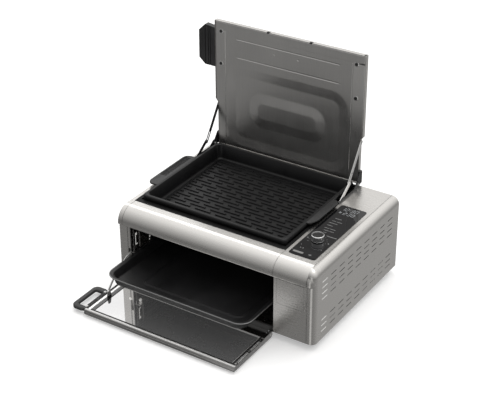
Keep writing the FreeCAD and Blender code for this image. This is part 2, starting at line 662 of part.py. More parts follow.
put(heating_rod("heater_lower", 152.0, -170.0, 60.0, 44.0, 20.0), "heater_lower")
put(heating_rod("heater_upper", 152.0, -170.0, 60.0, 138.0, 20.0), "heater_upper")
put(heating_rod("grill_heater", 141.5, -185.0, 60.0, 157.9, 20.0), "grill_heater")
bush = []
for k, (hy, hz) in enumerate(((-60, 44), (60, 44), (-60, 138), (60, 138))):
    outer = rod("bush_o%d" % k, "x", cav_x1 - 4, hy, hz, 7.0, 4.0)
    bush.append(cut("bush_%d" % k, outer, [rod("bush_i%d" % k, "x", cav_x1 - 5, hy, hz, rod_rad + 0.05, 6)]))
put(group("heater_bushes", bush), "heater_bushes")

# ============================================================ convection fan
gd = new_body("fan_guard")
pad(gd, "yz", [("circle", fan_y, fan_z, 52.0)], cav_x1 - 0.8, cav_x1)
pk = pocket(gd, "yz", [("rrect", fan_y - 2.2, fan_y + 2.2, fan_z + 10, fan_z + 44, 2.1)], cav_x1 - 2, cav_x1 + 2)
doc.recompute()
pp = gd.newObject("PartDesign::PolarPattern", "fan_guard_ring")
pp.Originals = [pk]
ax_sk = new_sketch(gd, "fan_guard_axis", "yz", 0.0)
draw_circle(ax_sk, fan_y, fan_z, 1.0)
pp.Axis = (ax_sk, ["N_Axis"])
pp.Angle = 360
pp.Occurrences = 16
gd.Tip = pp
put(gd, "fan_guard")
so = rod("shroud_o", "x", cav_x1 + liner_t, fan_y, fan_z, 56.0, 23.0)
si = rod("shroud_i", "x", cav_x1 + liner_t - 1, fan_y, fan_z, 55.0, 23.0)
sh = rod("shroud_h", "x", cav_x1 + liner_t, fan_y, fan_z, 5.0, 30.0)
put(cut("fan_shroud", so, [si, sh]), "fan_shroud")
fx0 = cav_x1 + 5
hub = [rod("fan_plate", "x", fx0 + 13, fan_y, fan_z, fan_rad, 1.0),
       rod("fan_hub", "x", fx0, fan_y, fan_z, 9.0, 13.5)]
for k in range(8):
    bl = box("fan_blade_%d" % k, fx0, fx0 + 13.4, -0.6, 0.6, 7.5, fan_rad - 0.5)
    a = 45.0 * k
    bl.Placement = FreeCAD.Placement(V3(bl.Placement.Base.x, 0, 0), FreeCAD.Rotation(V3(1, 0, 0), a))
    ca, sa = math.cos(math.radians(a)), math.sin(math.radians(a))
    bl.setExpression("Placement.Base.y", (fan_y + (-0.6 * ca - 7.5 * sa)).t)
    bl.setExpression("Placement.Base.z", (fan_z + (-0.6 * sa + 7.5 * ca)).t)
    hub.append(bl)
fan_solid = fuse("fan_solid", hub)
put(cut("convection_fan", fan_solid, [rod("fan_bore", "x", fx0 - 1, fan_y, fan_z, pin_big + 0.02, 20)]),
    "convection_fan")
put(rod("fan_shaft", "x", fx0 + 0.5, fan_y, fan_z, pin_big, 50.0), "fan_shaft")
mo = [rod("motor_flange", "x", cav_x1 + liner_t + 23.0, fan_y, fan_z, 30.0, 2.0),
      rod("motor_can", "x", cav_x1 + liner_t + 24.5, fan_y, fan_z, 25.0, 34.0),
      rod("motor_boss", "x", cav_x1 + liner_t + 58.0, fan_y, fan_z, 8.0, 4.0)]
put(cut("fan_motor", fuse("motor_solid", mo),
        [rod("motor_bore", "x", cav_x1 + 20, fan_y, fan_z, pin_big + run_gap, 36.5)]), "fan_motor")

# ============================================================ deck and well
fl = prism("deck_flange", "xy", [("poly", [(top_in + 0.2, deck_front), (tower_x - 0.2, deck_front),
                                           (tower_x - 0.2, y_b - skin), (top_in + 0.2, y_b - skin)])],
           z_t - skin, z_t - 0.2)
wo = prism("well_outer", "xy", [("rrect", mid_x - well_half - 1, mid_x + well_half + 1, well_y0 - 1, well_y1 + 1, 16)],
           well_z, z_t - 0.2)
wi = prism("well_inner", "xy", [("rrect", mid_x - well_half, mid_x + well_half, well_y0, well_y1, 15)],
           well_z + 1, z_t + 5)
gap_l = box("stay_gap_l", top_in - 1, mid_x - well_half - 1, 83, y_b - 3.5, z_t - 4, z_t + 2)
gap_r = box("stay_gap_r", mid_x + well_half + 1, tower_x + 1, 83, y_b - 3.5, z_t - 4, z_t + 2)
wr = [rod("well_rod_hole_%d" % k, "x", mid_x + well_half - 2, hy, 157.9, 3.6, 6) for k, hy in enumerate((-60, 60))]
flc = cut("deck_flange_open", fl, [box("deck_hole", mid_x - well_half - 0.5, mid_x + well_half + 0.5, well_y0 - 0.5,
                                       well_y1 + 0.5, z_t - 4, z_t + 2), gap_l, gap_r])
put(cut("deck_well", fuse("deck_solid", [flc, wo]), [wi] + wr), "deck_well")

# four pressed rests that carry the pan clear of the heater
put(group("pan_rests", [rod("pan_rest_%d" % k, "z", rx, ry, well_z + 1, 6.0, 9.9)
                        for k, (rx, ry) in enumerate(((-205, -95), (118, -95), (-205, 145), (118, 145)))]), "pan_rests")

# ============================================================ grill pan
gp = new_body("grill_pan")


def rim_loop(inset, r):
    return ("rrect", mid_x - pan_half + inset, mid_x + pan_half - inset, pan_y0 + inset, pan_y1 - inset, r)


def loft(body, kind, name, lower, z0, upper, z1):
    s0 = new_sketch(body, name + "_low", "xy", z0)
    draw(s0, [lower])
    s1 = new_sketch(body, name + "_high", "xy", z1)
    draw(s1, [upper])
    lf = body.newObject(kind, name)
    lf.Profile = s0
    lf.Sections = [s1]
    lf.Ruled = True
    return lf


loft(gp, "PartDesign::AdditiveLoft", "pan_outside", rim_loop(9.0, 14), pan_floor - pan_wall, rim_loop(4.0, 16), pan_rim - 1.5)
pad(gp, "xy", [rim_loop(0.0, 20)], pan_rim - 1.8, pan_rim)
# hand grips: a wide tab on the left, a narrower one over the tower on the right
gx0, gx1 = mid_x - pan_half, mid_x + pan_half
pad(gp, "xy", [("poly", [(gx0 + 4, -69), (gx0 - 18, -69), (gx0 - 24.5, -60), (gx0 - 24.5, 74), (gx0 - 18, 81),
                         (gx0 + 4, 81)])], pan_rim - 4.0, pan_rim - 0.4)
pad(gp, "xy", [("poly", [(gx1 - 4, -35), (gx1 + 6, -35), (gx1 + 14.5, -16), (gx1 + 14.5, 72), (gx1 + 8, 80),
                         (gx1 - 4, 80)])], pan_rim - 4.0, pan_rim - 0.4)
loft(gp, "PartDesign::SubtractiveLoft", "pan_inside", rim_loop(11.5, 12), pan_floor, rim_loop(5.6, 14.4), pan_rim + 1.0)
# ribs in three lengths, repeated towards the back
rs = new_sketch(gp, "pan_rib_sketch", "xy", pan_floor - 0.5)
for (a, b) in ((-196, -95), (-87, 1), (9, 108)):
    draw_poly(rs, [(a, pan_y0 + 22), (b, pan_y0 + 22), (b, pan_y0 + 26), (a, pan_y0 + 26)])
rib = gp.newObject("PartDesign::Pad", "pan_ribs")
rib.Profile = rs
rib.Length = 2.7
doc.recompute()
lp = gp.newObject("PartDesign::LinearPattern", "pan_rib_rows")
lp.Originals = [rib]
lp.Direction = (rs, ["V_Axis"])
lp.Length = 20 * rib_pitch.v
lp.setExpression("Length", (rib_pitch * 20).t)
lp.Occurrences = 21
gp.Tip = lp
doc.recompute()
pocket(gp, "xy", [("rrect", 113.5, 117.5, -100 + 48 * k, -86 + 48 * k, 1.9) for k in range(5)], pan_floor - 6, pan_floor + 1)
put(gp, "grill_pan")

# ============================================================ baking tray
tr = new_body("baking_tray")


def tray_loop(inset, r):
    return ("rrect", tray_x0 + inset, tray_x1 - inset, tray_y0 + inset, tray_y1 - inset, r)


loft(tr, "PartDesign::AdditiveLoft", "tray_outside", tray_loop(15.0, 18), tray_rim - tray_deep - 1.2,
     tray_loop(9.0, 22), tray_rim - 0.6)
pad(tr, "xy", [tray_loop(0.0, 30)], tray_rim - 1.2, tray_rim)
loft(tr, "PartDesign::SubtractiveLoft", "tray_inside", tray_loop(16.2, 17), tray_rim - tray_deep, tray_loop(9.9, 21),
     tray_rim + 1.0)
pad(tr, "xy", [tray_loop(34.0, 12), tray_loop(36.5, 10)], tray_rim - tray_deep - 0.4, tray_rim - tray_deep + 0.8)
put(tr, "baking_tray")

# ============================================================ control tower
put(prism("control_glass", "xy", [("rrect", glass_x0, glass_x1, glass_y0, glass_y1, 6.0),
                                  ("circle", knob_x, knob_y, 4.0)], z_t - skin, z_t + 0.8), "control_glass")
put(prism("glass_carrier", "xy", [("rrect", glass_x0 - 3.5, glass_x1 + 3.5, glass_y0 - 3.5, glass_y1 + 3.5, 5.0),
                                  ("circle", knob_x, knob_y, 9.0),
                                  ("rrect", glass_x0 + 6, glass_x1 - 6, 20, glass_y1 - 8, 3.0)],
          z_t - skin - 3, z_t - skin), "glass_carrier")
cb = [box("board_plate", glass_x0 + 2, glass_x1 - 2, glass_y0 + 8, glass_y1 - 4, z_t - 12, z_t - 10.4),
      box("board_display", glass_x0 + 8, glass_x1 - 8, 24, glass_y1 - 12, z_t - 10.4, z_t - skin - 0.3)]
for k, (cx, cy) in enumerate(((glass_x0 + 6, glass_y0 + 14), (glass_x1 - 6, glass_y0 + 14), (glass_x0 + 6, 10),
                              (glass_x1 - 6, 10))):
    cb.append(rod("board_post_%d" % k, "z", cx, cy, z_t - 10.4, 2.0, 10.4 - 1.2 - 3.0))
put(cut("control_board", fuse("board_solid", cb),
        [box("board_encoder_gap", knob_x - 7.5, knob_x + 7.5, knob_y - 7.5, knob_y + 7.5, z_t - 20, z_t)]), "control_board")
eb = [box("encoder_block", knob_x - 6.5, knob_x + 6.5, knob_y - 6.5, knob_y + 6.5, z_t - 13, z_t - 6.0),
      rod("encoder_neck", "z", knob_x, knob_y, z_t - 6.5, 3.9, 4.0)]
put(cut("dial_encoder", fuse("encoder_solid", eb), [rod("encoder_bore", "z", knob_x, knob_y, z_t - 11.5, 3.0 + run_gap, 12)]),
    "dial_encoder")
put(turned("dial_knob", knob_x, knob_y, z_t, "z",
           [(0, -11.0), (3.0, -11.0), (3.0, 1.6), (knob_rad - 1.2, 1.6), (knob_rad - 0.2, 2.2), (knob_rad, 3.2),
            (knob_rad, 12.2), (knob_rad - 1.8, 12.2), (knob_rad - 1.8, 14.6), (0, 14.8)]), "dial_knob")
put(turned("dial_ring", knob_x, knob_y, z_t, "z",
           [(knob_rad - 1.75, 12.25), (knob_rad + 0.8, 12.25), (knob_rad + 1.1, 13.2), (knob_rad + 0.9, 15.2),
            (knob_rad - 0.1, 15.9), (knob_rad - 1.75, 15.4)]), "dial_ring")

# cord gland at the lower right of the back
gland = turned("cord_gland", 200, y_b, 45, "y",
               [(3.6, -7), (7.8, -7), (7.8, 0), (11, 0), (11, 2.5), (8.5, 3.5), (6.5, 9.5), (3.6, 9.5)])
put(gland, "cord_gland")


# ============================================================ lid and hinges
def lid_outline(grow):
    w, q, st = lid_half + grow, lid_waist + grow, lid_step
    return [(mid_x - q, lid_z0 - grow), (mid_x + q, lid_z0 - grow), (mid_x + q, st), (mid_x + w, st + 8),
            (mid_x + w, lid_z1 + grow), (mid_x - w, lid_z1 + grow), (mid_x - w, st + 8), (mid_x - q, st)]


ls = prism("lid_shell_block", "xz", [("poly", lid_outline(0.0))], lid_y, lid_y + lid_t)
lsi = prism("lid_shell_room", "xz", [("poly", lid_outline(-1.2))], lid_y - 2, lid_y + lid_t - 1.2)
notches = [box("lid_notch_%d" % k, nx - 4, nx + 4, lid_y - 1, lid_y + 6, lid_z1 - 3, lid_z1 + 1)
           for k, nx in enumerate((-93.0, 13.0))]
put(cut("lid_shell", ls, [lsi] + notches), "lid_shell")

ln = new_body("lid_liner")
pad(ln, "xz", [("poly", lid_outline(-1.3))], lid_y + 0.2, lid_y + 1.2)
# stamped recess with a raised island inside it
pad(ln, "xz", [("rrect", -200, 108, 203, 392, 42)], lid_y + 1.0, lid_y + 5.2)
pocket(ln, "xz", [("rrect", -198.8, 106.8, 204.2, 390.8, 40.8)], lid_y - 1, lid_y + 4.2)
pad(ln, "xz", [("rrect", -118, 50, 268, 342, 22)], lid_y + 1.6, lid_y + 4.6)
pocket(ln, "xz", [("rrect", -116.8, 48.8, 269.2, 340.8, 20.8)], lid_y + 2.8, lid_y + 6.5)
# two shallow grooves near the free edge, and the screw holes
pocket(ln, "xz", [("rrect", -175, 83, 457.2, 459.0, 0.85), ("rrect", -175, 83, 415.2, 417.0, 0.85)],
       lid_y - 1, lid_y + 0.7)
lid_pts = [(-214.5, 470.0), (-215.5, 393.0), (123.0, 469.5), (124.0, 392.0)]
pocket(ln, "xz", [("circle", a, b, 1.7) for a, b in lid_pts], lid_y - 1, lid_y + 3)
put(ln, "lid_liner")
put(group("lid_screws", [screw("lid_screw_%d" % k, "y", a, lid_y + 0.2, b, 3.4, 1.6, 1.5, 7.5, -1)
                         for k, (a, b) in enumerate(lid_pts)]), "lid_screws")

# ribbed side grip
hx = mid_x - lid_half
hg = prism("grip_block", "xz", [("poly", [(hx, 382), (hx - 26, 382), (hx - 42, 396), (hx - 41.5, 462),
                                          (hx - 25, 478), (hx, 475)])], lid_y - 1, lid_y + lid_t + 2)
grooves = [box("grip_groove_%d" % k, hx - gx - 1.6, hx - gx, lid_y - 3, lid_y + 1.0, 376, 484)
           for k, gx in enumerate((11.0, 16.0, 24.0))]
put(cut("lid_handle", hg, grooves), "lid_handle")


def mirror_x(side, near, far):
    """Interval at +-offset from the middle plane, low side first."""
    return (mid_x + near, mid_x + far) if side > 0 else (mid_x - far, mid_x - near)


def side_rod(name, side, near, far, y, z, r):
    a, b = mirror_x(side, near, far)
    return rod(name, "x", a, y, z, r, b - a)


arms, hinge_pins, stay_pins, lid_pins = [], [], [], []
for side, tag in ((-1, "left"), (1, "right")):
    # arm on the lid: a block against the lid's edge and an ear round the hinge pin
    a, b = mirror_x(side, lid_waist, link_low + stay_t)
    blk = box("arm_block_" + tag, a, b, lid_y + 1, lid_y + lid_t, lid_z0 + 1, lid_z0 + 30)
    a, b = mirror_x(side, link_low, link_low + stay_t)
    ear = prism("arm_ear_" + tag, "yz", [("poly", [(hinge_y, hinge_z - 6.4), (lid_y + lid_t, lid_z0 + 1),
                                                   (lid_y + lid_t, lid_z0 + 30), (lid_y + 1, lid_z0 + 30),
                                                   (hinge_y - 5.0, hinge_z + 4.0)])], a, b)
    eye = rod("arm_eye_" + tag, "x", a, hinge_y, hinge_z, 6.4, stay_t)
    arm = fuse("arm_solid_" + tag, [blk, ear, eye])
    arms.append(cut("arm_" + tag, arm, [side_rod("arm_bore_" + tag, side, link_low - 1, link_low + 3, hinge_y, hinge_z,
                                                 pin_big + run_gap)]))
    # bracket on the housing: carries the hinge pin and the lower stay pivot
    a, b = mirror_x(side, brkt_off, brkt_off + stay_t)
    br = prism("bracket_plate_" + tag, "yz", [("poly", [(84.0, z_t - 16), (175.8, z_t - 16), (175.8, hinge_z + 4),
                                                        (hinge_y + 2, hinge_z + 7), (hinge_y - 4, hinge_z + 7),
                                                        (152.0, z_t + 4), (88.0, z_t + 4), (84.0, z_t)])], a, b)
    holes = [side_rod("bracket_hole_a_" + tag, side, brkt_off - 1, brkt_off + 4, hinge_y, hinge_z, pin_big + 0.02),
             side_rod("bracket_hole_b_" + tag, side, brkt_off - 1, brkt_off + 4, stay_by, stay_bz, pin_mid + 0.02)]
    put(cut("hinge_bracket_" + tag, br, holes), "hinge_bracket_" + tag)
    hinge_pins.append(side_rod("hinge_pin_" + tag, side, link_low + 0.1, brkt_off + stay_t, hinge_y, hinge_z, pin_big))
    sp = [side_rod("stay_pin_s_" + tag, side, link_low - 0.6, brkt_off + stay_t, stay_by, stay_bz, pin_mid),
          side_rod("stay_pin_h_" + tag, side, link_low - 0.9, link_low - 0.3, stay_by, stay_bz, 3.2)]
    stay_pins.append(fuse("stay_pin_" + tag, sp))
    lp2 = [side_rod("lid_pin_s_" + tag, side, lid_waist, link_up + stay_t + 0.3, stay_py, stay_pz, pin_mid),
           side_rod("lid_pin_h_" + tag, side, link_up + stay_t + 0.15, link_up + stay_t + 0.45, stay_py, stay_pz, 3.3)]
    lid_pins.append(fuse("lid_pin_" + tag, lp2))

    # upper stay link: eye on the lid, long slot for the knee pin
    dy, dz = (stay_ky - stay_py).v, (stay_kz - stay_pz).v
    ln_u = math.hypot(dy, dz)
    uy, uz = dy / ln_u, dz / ln_u
    py, pz = -uz, uy

    def bar(y0, z0, vy, vz, wy, wz, s0, s1, w):
        return [(y0 + vy * s0 - wy * w, z0 + vz * s0 - wz * w), (y0 + vy * s1 - wy * w, z0 + vz * s1 - wz * w),
                (y0 + vy * s1 + wy * w, z0 + vz * s1 + wz * w), (y0 + vy * s0 + wy * w, z0 + vz * s0 + wz * w)]

    a, b = mirror_x(side, link_up, link_up + stay_t)
    up = [prism("up_bar_" + tag, "yz", [("poly", bar(stay_py, stay_pz, uy, uz, py, pz, 0.0, 92.3, 4.25))], a, b),
          rod("up_eye_" + tag, "x", a, stay_py, stay_pz, 4.25, stay_t),
          rod("up_end_" + tag, "x", a, stay_py + uy * 92.3, stay_pz + uz * 92.3, 4.25, stay_t)]
    upc = [side_rod("up_bore_" + tag, side, link_up - 1, link_up + 3, stay_py, stay_pz, pin_mid + run_gap),
           prism("up_slot_" + tag, "yz", [("poly", bar(stay_py, stay_pz, uy, uz, py, pz, 70.5, 92.3, 2.5))],
                 a - 1, b + 1),
           side_rod("up_slot_a_" + tag, side, link_up - 1, link_up + 3, stay_py + uy * 70.5, stay_pz + uz * 70.5, 2.5),
           side_rod("up_slot_b_" + tag, side, link_up - 1, link_up + 3, stay_py + uy * 92.3, stay_pz + uz * 92.3, 2.5)]
    put(cut("stay_upper_" + tag, fuse("up_solid_" + tag, up), [fuse("up_cuts_" + tag, upc)]), "stay_upper_" + tag)

    # lower stay link
    dy, dz = (stay_ky - stay_by).v, (stay_kz - stay_bz).v
    ln_l = math.hypot(dy, dz)
    uy, uz = dy / ln_l, dz / ln_l
    py, pz = -uz, uy
    a, b = mirror_x(side, link_low, link_low + stay_t)
    low = [prism("low_bar_" + tag, "yz", [("poly", bar(stay_by, stay_bz, uy, uz, py, pz, 0.0, ln_l, 4.25))], a, b),
           rod("low_eye_" + tag, "x", a, stay_by, stay_bz, 4.25, stay_t),
           rod("low_end_" + tag, "x", a, stay_ky, stay_kz, 4.25, stay_t)]
    put(cut("stay_lower_" + tag, fuse("low_solid_" + tag, low),
            [side_rod("low_bore_" + tag, side, link_low - 1, link_low + 3, stay_by, stay_bz, pin_mid + run_gap),
             side_rod("low_hole_" + tag, side, link_low - 1, link_low + 3, stay_ky, stay_kz, pin_knee + 0.02)]),
        "stay_lower_" + tag)
    kp = [side_rod("knee_s_" + tag, side, link_up - 0.4, link_low + stay_t, stay_ky, stay_kz, pin_knee),
          side_rod("knee_h_" + tag, side, link_up - 0.7, link_up - 0.25, stay_ky, stay_kz, 3.4)]
    put(fuse("knee_pin_" + tag, kp), "knee_pin_" + tag)
put(group("lid_arms", arms), "lid_arms")
put(group("hinge_pins", hinge_pins + stay_pins), "hinge_pins")
put(group("stay_lid_pins", lid_pins), "stay_lid_pins")

# ============================================================ door
trim_y = door_y0 + 8
rail = [box("door_rail_l", door_x0, -214.6, trim_y, -193.4, door_z0, door_z1 - 0.3),
        box("door_rail_r", 135.6, door_x1, trim_y, -193.4, door_z0, door_z1 - 0.3),
        box("door_rail_h", door_x0, door_x1, -211.0, -193.4, door_z0, door_hz + ear_rad),
        box("door_skin", door_x0, door_x1, trim_y, -193.4, door_z0, door_z0 + skin),
        box("door_flange", -222.4, 134.8, -193.6, door_y1, door_z1 - 1.5, door_z1),
        box("door_ear_l", door_x0, -226.6, -193.6, door_hy, door_hz - ear_rad, door_hz + ear_rad),
        box("door_ear_r", 139.1, door_x1, -193.6, door_hy, door_hz - ear_rad, door_hz + ear_rad),
        rod("door_ear_eye_l", "x", door_x0, door_hy, door_hz, ear_rad, -226.6 - door_x0),
        rod("door_ear_eye_r", "x", 139.1, door_hy, door_hz, ear_rad, door_x1 - 139.1)]
df = fuse("door_solid", rail)
dcuts = [box("door_window", -196, 116, trim_y + 14, -224, door_z0 - 2, door_z0 + 3),
         rod("door_ear_bore", "x", door_x0 - 2, door_hy, door_hz, pin_big + 0.02, 400)]
side_holes = [-312.0, -263.0, -219.0]
for k, sy in enumerate(side_holes):
    dcuts.append(rod("door_screw_hole_%d" % k, "z", 139.6, sy, door_z1 - 8, 1.5, 12))
put(cut("door_frame", df, dcuts), "door_frame")
et = box("trim_bar", door_x0, door_x1, door_y0, trim_y, door_z0, door_z1)
put(soften("door_edge_trim", et, lambda e: along(e, "x") and ends(e)[0].y < door_y0.v + 0.1, 3.5), "door_edge_trim")
put(box("door_glass", -205, 126, -304, -216, door_z0 + skin, door_z0 + skin + 3), "door_glass")
put(box("door_mirror", -209.6, 133.4, trim_y + 0.4, -211.4, door_z1 - 3.2, door_z1 - 0.4), "door_mirror")
# spacers that hold the two panes apart
put(group("door_spacers", [box("spacer_l", -208, -205.4, -300, -220, door_z0 + skin, door_z1 - 3.2),
                           box("spacer_r", 126.4, 130, -300, -220, door_z0 + skin, door_z1 - 3.2)]), "door_spacers")
put(group("door_screws", [screw("door_screw_%d" % k, "z", 139.6, sy, door_z1 - 0.3, 2.4, 0.6, 1.3, 6.0, 1)
                          for k, sy in enumerate(side_holes)]), "door_screws")
# loop handle on the left edge
dh = prism("handle_loop", "xy", [("rrect", -269.0, door_x0 - 0.0, -322.0, -235.0, 13.0),
                                 ("rrect", -259.0, -239.3, -309.0, -249.0, 3.5)], 7.6, 15.2)
dhs = [box("handle_seat", -239.3, door_x0, -319.0, -238.0, 7.6, 15.2)]
put(cut("door_handle", fuse("handle_solid", [dh] + dhs),
        [rod("handle_hole_%d" % k, "z", -235.2, hy, 5, 1.6, 15) for k, hy in enumerate((-310.0, -247.0))]), "door_handle")
put(group("door_handle_screws", [screw("handle_screw_%d" % k, "z", -235.2, hy, 15.2, 2.8, 1.4, 1.4, 6.0, 1)
                                 for k, hy in enumerate((-310.0, -247.0))]), "door_handle_screws")
put(group("door_hinge_pins", [rod("door_pin_l", "x", door_x0 + 0.2, door_hy, door_hz, pin_big, 8.4),
                              rod("door_pin_r", "x", 135.6, door_hy, door_hz, pin_big, 8.1)]), "door_hinge_pins")
dbr = []
for k, (a, b) in enumerate(((-226.1, -223.4), (135.9, 138.6))):
    pl = prism("door_bracket_plate_%d" % k, "yz", [("poly", [(door_hy - 3.4, door_hz - 4.2), (door_hy + 3, door_hz - 5.2),
                                                             (-166.0, z_b - 5), (-160.0, z_b), (-176.0, z_b),
                                                             (-181.5, z_b), (door_hy - 2, door_hz + 5.0)])], a, b)
    eye = rod("door_bracket_eye_%d" % k, "x", a, door_hy, door_hz, 5.4, b - a)
    dbr.append(cut("door_bracket_%d" % k, fuse("door_bracket_solid_%d" % k, [pl, eye]),
                   [rod("door_bracket_bore_%d" % k, "x", a - 1, door_hy, door_hz, pin_big + run_gap, 6)]))
put(group("door_hinge_brackets", dbr), "door_hinge_brackets")

# link that guides the door and pulls the rack: bent flat bar from the door into the side wall
lug = prism("link_lug", "yz", [("poly", [(link_y - 8, door_z1 - 0.3), (link_y + 8, door_z1 - 0.3), (link_y + 4, link_z + 3),
                                         (link_y, link_z + 4.2), (link_y - 4, link_z + 3)])], -216.4, -214.9)
lug_pin = rod("link_lug_pin", "x", -218.6, link_y, link_z, 1.6, 3.6)
lug_head = rod("link_lug_head", "x", -219.0, link_y, link_z, 2.6, 0.5)
put(fuse("door_link_bracket", [lug, lug_pin, lug_head]), "door_link_bracket")


def bent_bar(name, cu, cv, radius, half, a0, a1, x0, x1):
    """Flat bar bent edgewise to one radius about (cu, cv), with round ends at angles a0 and a1."""
    body = new_body(name)
    sk = new_sketch(body, name + "_outline", "yz", x0)
    cu, cv, radius, half = D(cu), D(cv), D(radius), D(half)
    ax = V3(0, 0, 1)
    c = V3(cu.v, cv.v, 0)
    r, w = radius.v, half.v
    e0 = c + V3(math.cos(a0), math.sin(a0), 0) * r
    e1 = c + V3(math.cos(a1), math.sin(a1), 0) * r
    for g in (Part.ArcOfCircle(Part.Circle(c, ax, r + w), a0, a1), Part.ArcOfCircle(Part.Circle(c, ax, r - w), a0, a1),
              Part.ArcOfCircle(Part.Circle(e1, ax, w), a1, a1 + math.pi),
              Part.ArcOfCircle(Part.Circle(e0, ax, w), a0 + math.pi, a0 + 2 * math.pi)):
        sk.addGeometry(g, False)
    for a, b in (((0, 2), (2, 1)), ((2, 2), (1, 2)), ((1, 1), (3, 1)), ((3, 2), (0, 1))):
        sk.addConstraint(cstr("Coincident", a[0], a[1], b[0], b[1]))
    tie(sk, 0, 3, cu, cv)
    sk.addConstraint(cstr("Coincident", 1, 3, 0, 3))
    for g, val in ((0, radius + half), (1, radius - half)):
        k = sk.addConstraint(cstr("Radius", g, val.v))
        if val.t:
            sk.setExpression("Constraints[%d]" % k, val.t)
    p = body.newObject("PartDesign::Pad", name + "_pad")
    p.Profile = sk
    p.Length = (D(x1) - D(x0)).v
    sk.Visibility = False
    return body


bend0, bend1 = math.radians(142.0 - 47.5), math.radians(142.0)
bar = bent_bar("link_bar", link_cy, link_cz, link_rad, link_half, bend0, bend1, -218.2, -216.6)
link_eye = rod("link_eye", "x", -218.2, link_y, link_z, link_half + 0.9, 1.6)
put(cut("door_link", fuse("link_solid", [bar, link_eye]), [rod("link_bore", "x", -220, link_y, link_z, 1.65, 5)]), "door_link")

# ============================================================ check and write
doc.recompute()
bad = []
for o in doc.Objects:
    st = [str(s) for s in o.State]
    if "Invalid" in st or "Error" in st or any("rror" in s for s in st):
        bad.append((o.Name, st))
if bad:
    raise RuntimeError("objects failed: %r" % bad[:10])
os.makedirs("parts", exist_ok=True)
for name, obj in sorted(parts.items()):
    s = obj.Shape
    if s.isNull() or not s.isValid() or not s.Solids or s.Volume <= 0:
        raise RuntimeError("bad shape: %s" % name)
total = 0.0
for name, obj in sorted(parts.items()):
    s = obj.Shape
    total += s.Volume
    bb = s.BoundBox
    print("%-22s solids %2d  vol %9.1f  x %7.1f %7.1f  y %7.1f %7.1f  z %6.1f %6.1f" % (
        name, len(s.Solids), s.Volume, bb.XMin, bb.XMax, bb.YMin, bb.YMax, bb.ZMin, bb.ZMax))
    s.exportStep("parts/%s.step" % name)
print("nodes", len(parts), "volume", round(total))
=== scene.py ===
import json
import math
import bmesh
import bpy
from mathutils import Matrix, Vector


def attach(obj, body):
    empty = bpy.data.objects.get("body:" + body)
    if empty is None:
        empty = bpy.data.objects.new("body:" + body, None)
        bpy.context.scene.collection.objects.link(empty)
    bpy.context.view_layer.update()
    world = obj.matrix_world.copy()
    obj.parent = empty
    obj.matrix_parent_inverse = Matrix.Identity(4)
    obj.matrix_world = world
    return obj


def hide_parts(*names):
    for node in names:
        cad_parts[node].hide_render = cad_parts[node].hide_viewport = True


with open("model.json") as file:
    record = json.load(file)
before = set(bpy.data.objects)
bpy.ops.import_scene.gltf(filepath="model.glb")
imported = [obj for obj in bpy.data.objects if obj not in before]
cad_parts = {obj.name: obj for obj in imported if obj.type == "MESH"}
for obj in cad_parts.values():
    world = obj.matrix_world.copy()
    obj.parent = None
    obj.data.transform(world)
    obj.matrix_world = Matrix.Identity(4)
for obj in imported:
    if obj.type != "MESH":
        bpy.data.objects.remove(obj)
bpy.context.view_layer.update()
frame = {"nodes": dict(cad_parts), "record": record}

MM = 0.001
MID = -43.25            # middle plane of the lid, the stays and the grill pan, mm


